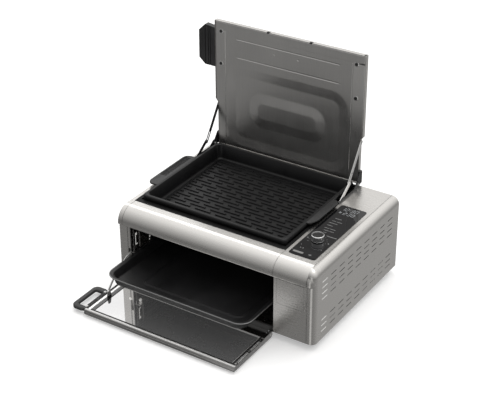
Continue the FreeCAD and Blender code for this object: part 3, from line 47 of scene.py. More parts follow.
# ------------------------------------------------------------------ materials
class Mat:
    """A node material with a Principled shader and short helpers."""

    def __init__(self, name, **sockets):
        self.m = bpy.data.materials.new(name)
        self.m.use_nodes = True
        self.nt = self.m.node_tree
        self.nt.nodes.clear()
        out = self.n("OutputMaterial")
        self.b = self.n("BsdfPrincipled")
        self.join(self.b.outputs[0], out.inputs[0])
        self.pos = self.n("TexCoord").outputs["Object"]
        for k, v in sockets.items():
            s = self.b.inputs[k.replace("_", " ")]
            s.default_value = v

    def n(self, kind, **kw):
        x = self.nt.nodes.new("ShaderNode" + kind)
        for k, v in kw.items():
            setattr(x, k, v)
        return x

    def join(self, a, b):
        self.nt.links.new(a, b)

    def scaled(self, sx, sy, sz, rot=(0, 0, 0)):
        m = self.n("Mapping")
        m.inputs["Scale"].default_value = (sx, sy, sz)
        m.inputs["Rotation"].default_value = rot
        self.join(self.pos, m.inputs["Vector"])
        return m.outputs[0]

    def noise(self, vec, scale=1.0, detail=3.0, rough=0.55, dist=0.0):
        x = self.n("TexNoise")
        x.inputs["Scale"].default_value = scale
        x.inputs["Detail"].default_value = detail
        x.inputs["Roughness"].default_value = rough
        x.inputs["Distortion"].default_value = dist
        self.join(vec, x.inputs["Vector"])
        return x.outputs["Fac"]

    def ramp(self, fac, stops):
        r = self.n("ValToRGB")
        e = r.color_ramp.elements
        while len(e) < len(stops):
            e.new(0.5)
        for el, (p, c) in zip(e, stops):
            el.position = p
            el.color = (*c, 1) if len(c) == 3 else c
        self.join(fac, r.inputs[0])
        return r.outputs[0]

    def span(self, fac, lo, hi, f0=0.0, f1=1.0):
        m = self.n("MapRange")
        m.inputs["From Min"].default_value = f0
        m.inputs["From Max"].default_value = f1
        m.inputs["To Min"].default_value = lo
        m.inputs["To Max"].default_value = hi
        self.join(fac, m.inputs["Value"])
        return m.outputs[0]

    def math(self, op, a, b=0.0):
        m = self.n("Math", operation=op)
        for i, v in enumerate((a, b)):
            if isinstance(v, (int, float)):
                m.inputs[i].default_value = v
            else:
                self.join(v, m.inputs[i])
        return m.outputs[0]

    def mix(self, fac, a, b):
        m = self.n("Mix", data_type="RGBA")
        for i, v in ((0, fac), (6, a), (7, b)):
            if isinstance(v, (int, float)):
                m.inputs[i].default_value = v
            elif isinstance(v, (tuple, list)):
                m.inputs[i].default_value = (*v, 1) if len(v) == 3 else v
            else:
                self.join(v, m.inputs[i])
        return m.outputs[2]

    def bump(self, height, strength=0.3, distance=0.0004, normal=None):
        b = self.n("Bump")
        b.inputs["Strength"].default_value = strength
        b.inputs["Distance"].default_value = distance
        self.join(height, b.inputs["Height"])
        if normal is not None:
            self.join(normal, b.inputs["Normal"])
        self.join(b.outputs[0], self.b.inputs["Normal"])
        return b.outputs[0]


def steel(name, colour, rough, grain=(60, 2600, 2600), spread=0.05, tone=0.06, bump=0.06, smudge=0.04):
    """Satin brushed sheet: fine grain along one axis, faint cloudy handling marks."""
    m = Mat(name, Metallic=1.0)
    g = m.noise(m.scaled(*grain), 1.0, 4.0, 0.6)
    g2 = m.noise(m.scaled(grain[0] * 0.4, grain[1] * 0.25, grain[2] * 0.25), 1.0, 3.0, 0.5)
    cloud = m.noise(m.scaled(9, 9, 9), 1.0, 3.0, 0.5, 0.4)
    both = m.math("ADD", m.math("MULTIPLY", g, 0.6), m.math("MULTIPLY", g2, 0.4))
    c = [max(0.0, x * (1 - tone)) for x in colour], [min(1.0, x * (1 + tone)) for x in colour]
    m.join(m.ramp(both, [(0.3, tuple(c[0])), (0.7, tuple(c[1]))]), m.b.inputs["Base Color"])
    r = m.math("ADD", m.span(both, rough - spread, rough + spread, 0.3, 0.7), m.span(cloud, -smudge, smudge, 0.3, 0.7))
    m.join(r, m.b.inputs["Roughness"])
    m.bump(both, bump, 0.0002)
    return m.m


def coated(name, colour, rough, grain=900.0, bump=0.25, spec=0.5, wear=0.02, tint=0.25):
    """Baked-on dark coating with a fine pebbled grain and slight sheen changes."""
    m = Mat(name, Metallic=0.0)
    m.b.inputs["Specular IOR Level"].default_value = spec
    g = m.noise(m.scaled(1, 1, 1), grain, 3.0, 0.6)
    cloud = m.noise(m.scaled(1, 1, 1), 14.0, 4.0, 0.6, 0.5)
    hi = tuple(min(1.0, x * (1 + tint) + wear * 0.2) for x in colour)
    lo = tuple(x * (1 - tint) for x in colour)
    m.join(m.ramp(cloud, [(0.3, lo), (0.7, hi)]), m.b.inputs["Base Color"])
    m.join(m.math("ADD", m.span(g, rough - 0.05, rough + 0.05, 0.3, 0.7), m.span(cloud, -0.05, 0.05, 0.3, 0.7)),
           m.b.inputs["Roughness"])
    m.bump(g, bump, 0.00025)
    return m.m


def polished(name, colour, rough):
    m = Mat(name, Metallic=1.0)
    cloud = m.noise(m.scaled(1, 1, 1), 60.0, 3.0, 0.5)
    m.join(m.span(cloud, rough * 0.6, rough * 1.6, 0.3, 0.7), m.b.inputs["Roughness"])
    m.join(m.ramp(cloud, [(0.3, tuple(x * 0.96 for x in colour)), (0.7, colour)]), m.b.inputs["Base Color"])
    return m.m


def gloss(name, colour, rough=0.08, coat=0.6):
    m = Mat(name, Metallic=0.0)
    m.b.inputs["Coat Weight"].default_value = coat
    m.b.inputs["Coat Roughness"].default_value = 0.04
    cloud = m.noise(m.scaled(1, 1, 1), 40.0, 3.0, 0.5)
    m.join(m.span(cloud, rough * 0.7, rough * 1.4, 0.3, 0.7), m.b.inputs["Roughness"])
    m.join(m.ramp(cloud, [(0.3, tuple(x * 0.8 for x in colour)), (0.7, tuple(x * 1.2 for x in colour))]),
           m.b.inputs["Base Color"])
    return m.m


def tinted_glass():
    m = Mat("tinted_glass", Metallic=0.0)
    m.b.inputs["Transmission Weight"].default_value = 0.85
    m.b.inputs["IOR"].default_value = 1.5
    cloud = m.noise(m.scaled(1, 1, 1), 30.0, 3.0, 0.5)
    m.join(m.span(cloud, 0.03, 0.07, 0.3, 0.7), m.b.inputs["Roughness"])
    m.join(m.ramp(cloud, [(0.3, (0.30, 0.30, 0.31)), (0.7, (0.34, 0.34, 0.35))]), m.b.inputs["Base Color"])
    return m.m


def rod_sheath():
    """Heating rod: dark oxide with a brown and blue heat tint in patches."""
    m = Mat("rod_sheath", Metallic=0.85)
    n1 = m.noise(m.scaled(1, 1, 1), 25.0, 4.0, 0.6)
    m.join(m.ramp(n1, [(0.3, (0.10, 0.085, 0.075)), (0.5, (0.17, 0.15, 0.13)), (0.7, (0.12, 0.12, 0.14))]),
           m.b.inputs["Base Color"])
    n2 = m.noise(m.scaled(1, 1, 1), 700.0, 2.0, 0.5)
    m.join(m.span(n2, 0.38, 0.6, 0.3, 0.7), m.b.inputs["Roughness"])
    m.bump(n2, 0.2, 0.0002)
    return m.m


def circuit():
    m = Mat("circuit_laminate", Metallic=0.0)
    n1 = m.noise(m.scaled(300, 300, 20), 1.0, 2.0, 0.5)
    m.join(m.ramp(n1, [(0.45, (0.02, 0.12, 0.05)), (0.55, (0.05, 0.22, 0.09))]), m.b.inputs["Base Color"])
    m.join(m.span(n1, 0.3, 0.5), m.b.inputs["Roughness"])
    return m.m


def coated_pane_painted_veil():
    """Inner door pane: a reflective coating over dark glass, plus a weak emission that paints a faint grey veil of
    light over it.
    """
    m = Mat("coated_pane_painted_veil", Metallic=0.93)
    cloud = m.noise(m.scaled(1, 1, 1), 30.0, 3.0, 0.5)
    m.join(m.span(cloud, 0.018, 0.05, 0.3, 0.7), m.b.inputs["Roughness"])
    m.join(m.ramp(cloud, [(0.3, (0.86, 0.86, 0.87)), (0.7, (0.90, 0.90, 0.90))]), m.b.inputs["Base Color"])
    # the emission is painted light: an even grey veil laid over the pane, lit by nothing
    m.b.inputs["Emission Color"].default_value = (1.0, 1.0, 1.0, 1.0)
    m.b.inputs["Emission Strength"].default_value = 0.03
    return m.m


def fibre():
    """White ceramic-fibre blanket behind the cavity wall, with loose clumps, and a weak emission that paints a glow
    onto it.
    """
    m = Mat("white_fibre_painted_glow", Metallic=0.0, Roughness=0.9)
    n1 = m.noise(m.scaled(1, 1, 1), 260.0, 5.0, 0.7, 0.8)
    c = m.ramp(n1, [(0.3, (0.72, 0.71, 0.68)), (0.7, (0.92, 0.91, 0.88))])
    m.join(c, m.b.inputs["Base Color"])
    # the same colour feeds a weak emission: a painted glow that lifts the fibre in the dark cavity
    m.join(c, m.b.inputs["Emission Color"])
    m.b.inputs["Emission Strength"].default_value = 0.35
    m.bump(n1, 0.5, 0.0008)
    return m.m


def zinc_plate():
    """Pale zinc-plated strip, half dull, with a fine crystalline mottling."""
    m = Mat("zinc_plate", Metallic=0.45)
    n1 = m.noise(m.scaled(1, 1, 1), 420.0, 4.0, 0.6)
    m.join(m.ramp(n1, [(0.3, (0.56, 0.56, 0.56)), (0.7, (0.72, 0.72, 0.71))]), m.b.inputs["Base Color"])
    m.join(m.span(n1, 0.26, 0.42, 0.3, 0.7), m.b.inputs["Roughness"])
    m.bump(n1, 0.08, 0.0002)
    return m.m


def print_ink(name, colour, glow=0.0):
    """Screen-printed ink on glass or steel, with slightly uneven cover."""
    m = Mat(name, Metallic=0.0, Roughness=0.55)
    n1 = m.noise(m.scaled(1, 1, 1), 1500.0, 3.0, 0.6)
    c = m.ramp(n1, [(0.3, tuple(x * 0.86 for x in colour)), (0.7, colour)])
    m.join(c, m.b.inputs["Base Color"])
    m.join(m.span(n1, 0.45, 0.65), m.b.inputs["Roughness"])
    if glow:
        m.join(c, m.b.inputs["Emission Color"])
        m.b.inputs["Emission Strength"].default_value = glow
    return m.m


WARM = (0.66, 0.645, 0.625)
MATS = {
    "stainless": steel("stainless_satin", WARM, 0.27, spread=0.02, tone=0.035, bump=0.01, smudge=0.015),
    "stainless_bright": steel("stainless_bright", (0.78, 0.77, 0.76), 0.24),
    "galvanised": steel("rolled_sheet", (0.50, 0.51, 0.52), 0.45, (400, 400, 900), 0.08, 0.12, 0.1, 0.08),
    "liner_steel": steel("cavity_sheet", (0.30, 0.295, 0.29), 0.26, (80, 80, 1500), 0.06, 0.10, 0.08, 0.07),
    "black_enamel": coated("black_nonstick", (0.0055, 0.0055, 0.006), 0.40, 900.0, 0.22, 0.32, 0.006),
    "tray_enamel": coated("tray_nonstick", (0.009, 0.009, 0.0095), 0.36, 900.0, 0.2, 0.42, 0.008),
    "black_paint": coated("black_paint", (0.010, 0.010, 0.011), 0.40, 500.0, 0.12, 0.45, 0.01),
    "heater_sheath": rod_sheath(),
    "rubber": coated("rubber", (0.018, 0.018, 0.018), 0.75, 600.0, 0.2, 0.3),
    "black_plastic": coated("grained_plastic", (0.014, 0.014, 0.0145), 0.42, 1300.0, 0.3),
    "gloss_black": gloss("gloss_black", (0.010, 0.010, 0.011)),
    "control_glass": gloss("panel_glass", (0.005, 0.005, 0.006), 0.035, 0.0),
    "clear_glass": tinted_glass(),
    "mirror_panel": coated_pane_painted_veil(),
    "chrome": polished("chrome", (0.82, 0.82, 0.82), 0.07),
    "screw_steel": steel("zinc_screw", (0.62, 0.62, 0.61), 0.28, (600, 600, 600), 0.06, 0.05, 0.05, 0.03),
    "ceramic": coated("ceramic", (0.72, 0.70, 0.64), 0.5, 400.0, 0.1, 0.4, 0.0, 0.05),
    "circuit": circuit(),
    "aluminium": steel("cast_aluminium", (0.66, 0.66, 0.67), 0.42, (500, 500, 500), 0.08, 0.08, 0.12, 0.05),
}
EXTRA = {
    "fibre": fibre(),
    # white ink with a weak emission: a painted glow on the print
    "ink_white": print_ink("ink_white", (0.80, 0.80, 0.80), 0.10),
    "ink_grey": print_ink("ink_grey", (0.30, 0.30, 0.30)),
    "ink_dark": coated("ink_dark", (0.012, 0.012, 0.012), 0.8, 900.0, 0.05, 0.05, 0.0),
    "ink_faint": print_ink("ink_faint", (0.16, 0.157, 0.152)),
    "digits": print_ink("display_digits", (0.62, 0.64, 0.66), 0.12),
    "gasket": coated("gasket", (0.010, 0.010, 0.010), 0.6, 700.0, 0.15, 0.3, 0.0),
    "lid_steel": steel("lid_sheet", (0.68, 0.67, 0.655), 0.34, (2200, 60, 60), 0.05, 0.06, 0.05, 0.05),
    "dark_steel": steel("dark_strip", (0.10, 0.10, 0.10), 0.3, (60, 60, 2000), 0.06, 0.1, 0.08, 0.05),
    "edge_steel": steel("edge_strip", (0.42, 0.42, 0.415), 0.3, (60, 900, 900), 0.05, 0.08, 0.06, 0.04),
    "rolled_edge": steel("rolled_edge", (0.20, 0.20, 0.20), 0.38, (60, 60, 900), 0.06, 0.12, 0.08, 0.05),
    "link_steel": zinc_plate(),
    "sill_steel": steel("sill_steel", (0.16, 0.16, 0.16), 0.34, (60, 900, 900), 0.05, 0.10, 0.05, 0.04),
    "trim_steel": steel("trim_steel", (0.36, 0.355, 0.35), 0.26, (60, 900, 900), 0.05, 0.08, 0.05, 0.04),
    "deck": coated("deck_paint", (0.006, 0.006, 0.0062), 0.55, 500.0, 0.12, 0.18, 0.006),
    "dark_chrome": polished("dark_chrome", (0.66, 0.66, 0.665), 0.09),
    "grip_ridge": coated("grip_ridge", (0.005, 0.005, 0.005), 0.5, 1300.0, 0.2, 0.2, 0.004),
    "ink_key": print_ink("ink_key", (0.25, 0.245, 0.24)),
    "bright_strip": steel("bright_strip", (0.90, 0.90, 0.89), 0.16, (60, 900, 900), 0.04, 0.05, 0.05, 0.03),
}
slot_of = {s["node"]: s["material_slot"] for s in frame["record"]["subparts"]}
# the lid screws get the near-black dark steel: painted shade, so the heads read as shadowed holes
OTHER = {"deck_well": "deck", "door_link": "link_steel", "door_frame": "trim_steel", "lid_screws": "dark_steel"}
for node, ob in frame["nodes"].items():
    ob.data.materials.clear()
    ob.data.materials.append(EXTRA[OTHER[node]] if node in OTHER else MATS[slot_of[node]])
# the outside of the door, seen when it is shut, is the same sheet as the casing
outside = frame["nodes"]["door_frame"].data
outside.materials.append(MATS["stainless"])
for poly in outside.polygons:
    if poly.normal.z < -0.5:
        poly.material_index = 1
# the sill under the opening and the inner returns of the front frame (faces below 30 mm) get a much darker steel
sill = frame["nodes"]["front_frame"].data
sill.materials.append(EXTRA["sill_steel"])
for poly in sill.polygons:
    if poly.center.z < 0.030:
        poly.material_index = 1


# ------------------------------------------------------------------ mesh helpers
def mesh_piece(name, verts, faces, mat, body, smooth=None, solid=None):
    me = bpy.data.meshes.new(name)
    me.from_pydata([(x * MM, y * MM, z * MM) for x, y, z in verts], [], faces)
    me.validate()
    bm = bmesh.new()
    bm.from_mesh(me)
    bmesh.ops.remove_doubles(bm, verts=bm.verts, dist=1e-7)
    if solid is None:
        bmesh.ops.recalc_face_normals(bm, faces=bm.faces)
    bm.to_mesh(me)
    bm.free()
    me.materials.append(mat)
    if smooth is not None:
        for p in me.polygons:
            p.use_smooth = True
        me.set_sharp_from_angle(angle=math.radians(smooth))
    ob = bpy.data.objects.new(name, me)
    bpy.context.scene.collection.objects.link(ob)
    if solid is not None:
        md = ob.modifiers.new("sheet", "SOLIDIFY")
        md.thickness = solid * MM
        md.offset = -1.0
    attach(ob, body)
    return ob


class Soup:
    # collects closed prisms and lofts into one mesh
    def __init__(self):
        self.v, self.f = [], []

    def rings(self, rings, cap0=True, cap1=True):
        b, n = len(self.v), len(rings[0])
        for r in rings:
            self.v += [tuple(p) for p in r]
        for k in range(len(rings) - 1):
            for i in range(n):
                j = (i + 1) % n
                a = b + k * n
                self.f.append((a + i, a + j, a + n + j, a + n + i))
        if cap0:
            self.f.append(tuple(b + i for i in reversed(range(n))))
        if cap1:
            e = b + (len(rings) - 1) * n
            self.f.append(tuple(e + i for i in range(n)))

    def prism(self, pts, lo, hi, plane="xy", chamfer=0.0):
        def at(p, w):
            if plane == "xy":
                return (p[0], p[1], w)
            if plane == "xz":
                return (p[0], w, p[1])
            return (w, p[0], p[1])
        if chamfer <= 0:
            self.rings([[at(p, lo) for p in pts], [at(p, hi) for p in pts]])
            return
        cx = sum(p[0] for p in pts) / len(pts)
        cy = sum(p[1] for p in pts) / len(pts)

        def inset(p):
            dx, dy = p[0] - cx, p[1] - cy
            return (p[0] - math.copysign(min(chamfer, abs(dx)), dx), p[1] - math.copysign(min(chamfer, abs(dy)), dy))
        ins = [inset(p) for p in pts]
        c = math.copysign(min(chamfer, abs(hi - lo) / 2), hi - lo)
        self.rings([[at(p, lo) for p in ins], [at(p, lo + c) for p in pts], [at(p, hi - c) for p in pts],
                    [at(p, hi) for p in ins]])

    def box(self, x0, x1, y0, y1, z0, z1, chamfer=0.0):
        self.prism([(x0, y0), (x1, y0), (x1, y1), (x0, y1)], z0, z1, "xy", chamfer)

    def done(self, name, mat, body, smooth=None):
        return mesh_piece(name, self.v, self.f, mat, body, smooth)


def rrect(x0, x1, y0, y1, r, n=6):
    pts = []
    for cx, cy, a0 in ((x1 - r, y0 + r, -90), (x1 - r, y1 - r, 0), (x0 + r, y1 - r, 90), (x0 + r, y0 + r, 180)):
        for k in range(n + 1):
            a = math.radians(a0 + 90.0 * k / n)
            pts.append((cx + r * math.cos(a), cy + r * math.sin(a)))
    return pts


def frange(a, b, step):
    n = max(1, int(round(abs(b - a) / step)))
    return [a + (b - a) * k / n for k in range(n + 1)]


def bevel_step(t, w=0.28):
    if t <= 0:
        return 0.0
    if t >= 1:
        return 1.0
    if t < w:
        return t * t / (2 * w * (1 - w))
    if t > 1 - w:
        return 1 - (1 - t) * (1 - t) / (2 * w * (1 - w))
    return (t - w / 2) / (1 - w)


def sd_rrect(x, z, x0, x1, z0, z1, r):
    qx = abs(x - (x0 + x1) / 2) - ((x1 - x0) / 2 - r)
    qz = abs(z - (z0 + z1) / 2) - ((z1 - z0) / 2 - r)
    return math.hypot(max(qx, 0), max(qz, 0)) + min(max(qx, qz), 0) - r


# ------------------------------------------------------------------ lid panel
# pressed inner sheet: large sloped recess, an island raised inside it, two bead grooves,
# two dimples and a narrow folded strip along either side
def lid_depth(x, z):
    d = 0.6
    up = bevel_step((474.5 - z) / 5.0)
    d -= 0.6 * up * bevel_step((-203.6 - x) / 1.8)
    d -= 0.6 * up * bevel_step((x - 113.6) / 1.8)
    d -= 0.25 * (1 - up)
    d += 2.6 * max(0.0, (x - 116.0) / 29.0) * up
    d += 2.5 * bevel_step(-sd_rrect(x, z, -203, 108.5, 199, 397, 44) / 25.0, 0.10)
    d -= 3.0 * bevel_step(-sd_rrect(x, z, -143, 52.5, 258, 344, 36) / 25.5, 0.10)
    for zc in (458.9, 416.0):
        end = bevel_step((x + 176.0) / 3.0) * bevel_step((85.0 - x) / 3.0)
        d += 0.85 * end * math.exp(-((z - zc) / 1.05) ** 2)
    for xc in (-77.4, -17.5):
        d += 0.9 * math.exp(-((x - xc) ** 2 + (z - 445.0) ** 2) / 2.6)
    return max(0.0, d)


def spaced(lo, hi, step, fine):
    vals = set(round(v, 3) for v in frange(lo, hi, step))
    for c, half, st in fine:
        vals = {v for v in vals if abs(v - c) > half}
        vals |= {round(v, 3) for v in frange(c - half, c + half, st)}
    return sorted(v for v in vals if lo <= v <= hi)


xs = spaced(MID - 186.7, MID + 186.7, 2.4, [(-204.5, 1.8, 0.45), (114.5, 1.8, 0.45), (-77.4, 2.6, 0.65), (-17.5, 2.6, 0.65)])
zs = spaced(192.4, 491.6, 2.4, [(458.9, 2.6, 0.42), (416.0, 2.6, 0.42), (445.0, 2.6, 0.65), (472.0, 2.4, 0.6)])


def lid_half_at(z):
    return 180.35 if z < 296 else (186.7 if z > 304 else 180.35 + 6.35 * (z - 296) / 8)


vv, ff = [], []
for z in zs:
    hw = lid_half_at(z)
    for x in xs:
        xe = min(MID + hw, max(MID - hw, x))
        vv.append((xe, 180.3 + lid_depth(xe, z), z))
nx = len(xs)
for k in range(len(zs) - 1):
    for i in range(nx - 1):
        a = k * nx + i
        quad = (a, a + 1, a + nx + 1, a + nx)
        if len({vv[q] for q in quad}) == 4:
            ff.append(quad)
        else:
            tri = []
            for q in quad:
                if all(vv[q] != vv[t] for t in tri):
                    tri.append(q)
            if len(tri) == 3:
                ff.append(tuple(tri))
lid_panel = mesh_piece("lid_panel", vv, ff, EXTRA["lid_steel"], "lid", 60, solid=0.8)
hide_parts("lid_liner")
# bright strips along the folds beside the side strips, a painted highlight in brighter steel than the lid, and black
# plugs in the notches of the free edge, painted shade where the notches lie in shadow
sp = Soup()
for x, w, z0, z1 in ((113.5, 0.7, 206.0, 470.0), (-204.6, 0.35, 206.0, 470.0)):
    sp.prism([(x - w, z0), (x + w, z0), (x + w, z1), (x - w, z1)], 180.05, 180.75, "xz", 0.2)
sp.done("lid_fold_highlights", EXTRA["bright_strip"], "lid")
sp = Soup()
for nx_ in (-93.0, 13.0):
    sp.prism([(nx_ - 3.9, 180.2), (nx_ + 2.2, 180.2), (nx_ + 3.9, 185.9), (nx_ - 2.2, 185.9)], 490.4, 492.9, "xy", 0.2)
sp.prism([(138.6, 181.2), (143.8, 181.2), (144.5, 188.8), (141.0, 188.8)], 492.4, 493.0, "xy", 0.1)
sp.done("lid_notch_shade_plugs", EXTRA["gasket"], "lid")
# dished seats round the lid screws, in a brighter, glossier steel than the lid: a painted highlight
sp = Soup()
for x, z in ((-214.5, 470.0), (-215.5, 393.0), (123.0, 469.5), (124.0, 392.0)):
    yy = 180.3 + lid_depth(x, z)
    prof_ = ((3.45, 0.1), (3.45, -0.35), (4.3, -0.55), (5.3, -0.1), (5.3, 0.1))
    base_ = len(sp.v)
    for r, h in prof_:
        for i in range(28):
            a = 2 * math.pi * i / 28
            sp.v.append((x + r * math.cos(a), yy + h, z + r * math.sin(a)))
    for k in range(5):
        for i in range(28):
            j, k2 = (i + 1) % 28, (k + 1) % 5
            sp.f.append((base_ + k * 28 + i, base_ + k * 28 + j, base_ + k2 * 28 + j, base_ + k2 * 28 + i))
sp.done("lid_screw_seat_highlights", EXTRA["bright_strip"], "lid", 40)

# ------------------------------------------------------------------ dial
KX, KY, ZT = 181.5, -69.5, 188.4


def lathe(sp, rings_, n=192, facets=0, lo=0.0, hi=0.0, cap=True):
    # turned body about the dial axis; between heights lo and hi it has flat facets
    out = []
    for r, h in rings_:
        ring = []
        for i in range(n):
            a = 2 * math.pi * i / n
            rr = r
            if facets and lo < h < hi:
                half = math.pi / facets
                rr = r * (0.35 + 0.65 * math.cos(half) / math.cos((a % (2 * half)) - half))
            ring.append((KX + rr * math.cos(a), KY + rr * math.sin(a), ZT + h))
        out.append(ring)
    if cap:
        sp.rings(out)
    else:
        b_ = len(sp.v)
        for ring in out:
            sp.v += ring
        m_ = len(out)
        for k in range(m_):
            for i in range(n):
                j, k2 = (i + 1) % n, (k + 1) % m_
                sp.f.append((b_ + k * n + i, b_ + k * n + j, b_ + k2 * n + j, b_ + k2 * n + i))


sp = Soup()
lathe(sp, [(0.01, -11.0), (3.0, -11.0), (3.0, 1.6), (11.6, 1.6), (12.6, 2.1), (12.95, 3.2), (12.95, 4.2), (12.9, 8.0),
           (12.8, 11.4), (12.6, 12.2), (11.3, 12.4)], facets=14, lo=3.9, hi=11.6)
dial = sp.done("dial_body", EXTRA["dark_chrome"], "dial", 14)
sp = Soup()
lathe(sp, [(0.01, 12.0), (11.2, 12.0), (11.9, 12.4), (11.9, 14.2), (11.3, 14.5), (8.0, 14.25), (4.0, 14.1), (0.01, 14.05)])
# pointer line on the top face
sp.prism([(KX - 0.45, KY + 5.0), (KX + 0.45, KY + 5.0), (KX + 0.45, KY + 10.2), (KX - 0.45, KY + 10.2)], ZT + 14.1, ZT + 14.6)
face = sp.done("dial_face", MATS["gloss_black"], "dial", 35)
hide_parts("dial_knob")
sp = Soup()
lathe(sp, [(12.0, 12.6), (12.7, 12.3), (13.3, 12.7), (13.5, 13.6), (13.3, 14.7), (12.8, 15.3), (12.3, 15.4), (12.0, 15.0)],
      n=144, cap=False)
ring_ob = sp.done("dial_bezel", MATS["chrome"], "dial", 50)
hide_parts("dial_ring")
sp = Soup()
lathe(sp, [(12.85, 2.2), (13.0, 2.3), (13.0, 3.3), (12.85, 3.4)], n=96, cap=False)
sp.done("dial_band", MATS["chrome"], "dial", 40)

# ------------------------------------------------------------------ print on the control glass
GZ0, GZ1 = 189.18, 189.26
SEG = {"0": "abcdef", "1": "bc", "2": "abged", "3": "abgcd", "5": "afgcd", "8": "abcdefg"}


def digit(sp, ch, x, y, w, h, t):
    m = h / 2
    bars = {"a": (x + t, x + w - t, y + h - t, y + h), "d": (x + t, x + w - t, y, y + t),
            "g": (x + t, x + w - t, y + m - t / 2, y + m + t / 2), "b": (x + w - t, x + w, y + m + t * .6, y + h - t * .4),
            "c": (x + w - t, x + w, y + t * .4, y + m - t * .6), "f": (x, x + t, y + m + t * .6, y + h - t * .4),
            "e": (x, x + t, y + t * .4, y + m - t * .6)}
    for s_ in SEG[ch]:
        x0, x1, y0, y1 = bars[s_]
        lean = 0.12
        pts = [(x0 + lean * (y0 - y), y0), (x1 + lean * (y0 - y), y0), (x1 + lean * (y1 - y), y1), (x0 + lean * (y1 - y), y1)]
        sp.prism(pts, GZ0, GZ1)


sp = Soup()
for ch, x in (("1", 160.6), ("2", 169.0), ("3", 182.0), ("0", 191.2)):
    digit(sp, ch, x, 65.6, 6.2, 11.4, 0.62)
for y in (68.6, 73.6):
    sp.prism(rrect(178.4, 179.4, y - 0.5, y + 0.5, 0.4, 3), GZ0, GZ1)
for ch, x in (("2", 172.2), ("3", 181.4), ("0", 190.6)):
    digit(sp, ch, x, 49.6, 6.2, 10.6, 0.62)
# small fan symbol beside the lower digits
for k in range(4):
    a = math.radians(90 * k + 20)
    c, s_ = math.cos(a), math.sin(a)
    pts = [(0.5, -0.3), (2.9, -1.0), (3.1, 0.6), (0.7, 0.4)]
    sp.prism([(164.6 + p[0] * c - p[1] * s_, 54.6 + p[0] * s_ + p[1] * c) for p in pts], GZ0, GZ1)
sp.done("panel_digits", EXTRA["digits"], "housing")

sp = Soup()
# rows of short function bars, some broken in two
for y, runs in ((27.8, ((167.4, 182.9),)), (16.0, ((167.2, 175.6), (177.4, 190.0))), (6.8, ((164.1, 184.9),)),
                (-4.0, ((166.5, 179.7),)), (-16.0, ((167.2, 178.0), (179.6, 192.5))), (-25.2, ((170.0, 181.8), (183.6, 193.5))),
                (-33.4, ((173.5, 181.1),))):
    for x0, x1 in runs:
        sp.prism(rrect(x0, x1, y - 0.62, y + 0.62, 0.5, 2), GZ0, GZ1)
sp.prism(rrect(187.7, 210.6, -44.6, -43.0, 0.6, 3), GZ0, GZ1)
for x, y, r in ((206.1, -69.3, 1.5), (157.9, -68.5, 1.5), (206.0, -98.0, 0.9), (160.0, -98.0, 0.9)):
    sp.prism([(x + r * math.cos(2 * math.pi * i / 20), y + r * math.sin(2 * math.pi * i / 20)) for i in range(20)], GZ0, GZ1)
# tick marks round the dial
for k in range(-5, 6):
    a = math.radians(90 + 24 * k)
    c, s_ = math.cos(a), math.sin(a)
    r0, r1, hw = 18.2, 20.2 if k % 5 else 21.4, 0.32
    sp.prism([(KX + r0 * c + hw * s_, KY + r0 * s_ - hw * c), (KX + r1 * c + hw * s_, KY + r1 * s_ - hw * c),
              (KX + r1 * c - hw * s_, KY + r1 * s_ + hw * c), (KX + r0 * c - hw * s_, KY + r0 * s_ + hw * c)], GZ0, GZ1)
# small sun and drop symbols
for cx, cy in ((196.0, -125.6),):
    sp.prism([(cx + 1.5 * math.cos(2 * math.pi * i / 16), cy + 1.5 * math.sin(2 * math.pi * i / 16)) for i in range(16)], GZ0, GZ1)
    for k in range(8):
        a = math.radians(45 * k)
        c, s_ = math.cos(a), math.sin(a)
        sp.prism([(cx + 2.2 * c + .3 * s_, cy + 2.2 * s_ - .3 * c), (cx + 3.4 * c + .3 * s_, cy + 3.4 * s_ - .3 * c),
                  (cx + 3.4 * c - .3 * s_, cy + 3.4 * s_ + .3 * c), (cx + 2.2 * c - .3 * s_, cy + 2.2 * s_ + .3 * c)], GZ0, GZ1)
for x in (165.0, 170.5):
    sp.prism([(x - 1.4, -110.6), (x + 1.4, -110.6), (x, -107.2)], GZ0, GZ1)
sp.done("panel_marks", EXTRA["ink_grey"], "housing")
sp = Soup()
sp.prism(rrect(157.4, 181.0, -129.6, -123.4, 2.2, 5), GZ0, GZ1)
sp.done("panel_key", EXTRA["ink_key"], "housing")

# fine printed rule and frame on the tower front
sp = Soup()
sp.prism([(150.4, 148.6), (214.6, 148.6), (214.6, 150.8), (150.4, 150.8)], -179.60, -179.46, "xz")
sp.done("front_rule", EXTRA["ink_dark"], "housing")
sp = Soup()
for x0, x1, z0, z1 in ((151.0, 151.5, 90.0, 150.0), (214.1, 214.6, 90.0, 150.0), (151.5, 214.1, 90.0, 90.5)):
    sp.prism([(x0, z0), (x1, z0), (x1, z1), (x0, z1)], -179.54, -179.46, "xz")
sp.done("front_frame_print", EXTRA["ink_faint"], "housing")

# ------------------------------------------------------------------ louvre lips in the right side panel, front column only, in brighter steel than the panel: a painted highlight
LOUVRE_Z = (153.6, 140.0, 126.4, 112.8, 62.7, 49.1, 35.5)
for name, cols, mat_, x_in, rise in (("louvre_lips_front_highlight", (0,), EXTRA["bright_strip"], 238.9, 0.4),):
    sp = Soup()
    for k in cols:
        for zc in LOUVRE_Z:
            yc = -125.5 + 34.9 * k - 14.0
            y0, y1 = yc - 10.6, yc + 10.6
            sec = [(239.9, zc - 0.85), (239.9, zc - 0.45), (x_in, zc + rise), (x_in - 0.3, zc + rise), (x_in - 0.3, zc + rise - 0.25),
                   (239.3, zc - 0.85)]
            sp.rings([[(x, y, z) for x, z in sec] for y in (y0, y1)])
    sp.done(name, mat_, "housing")
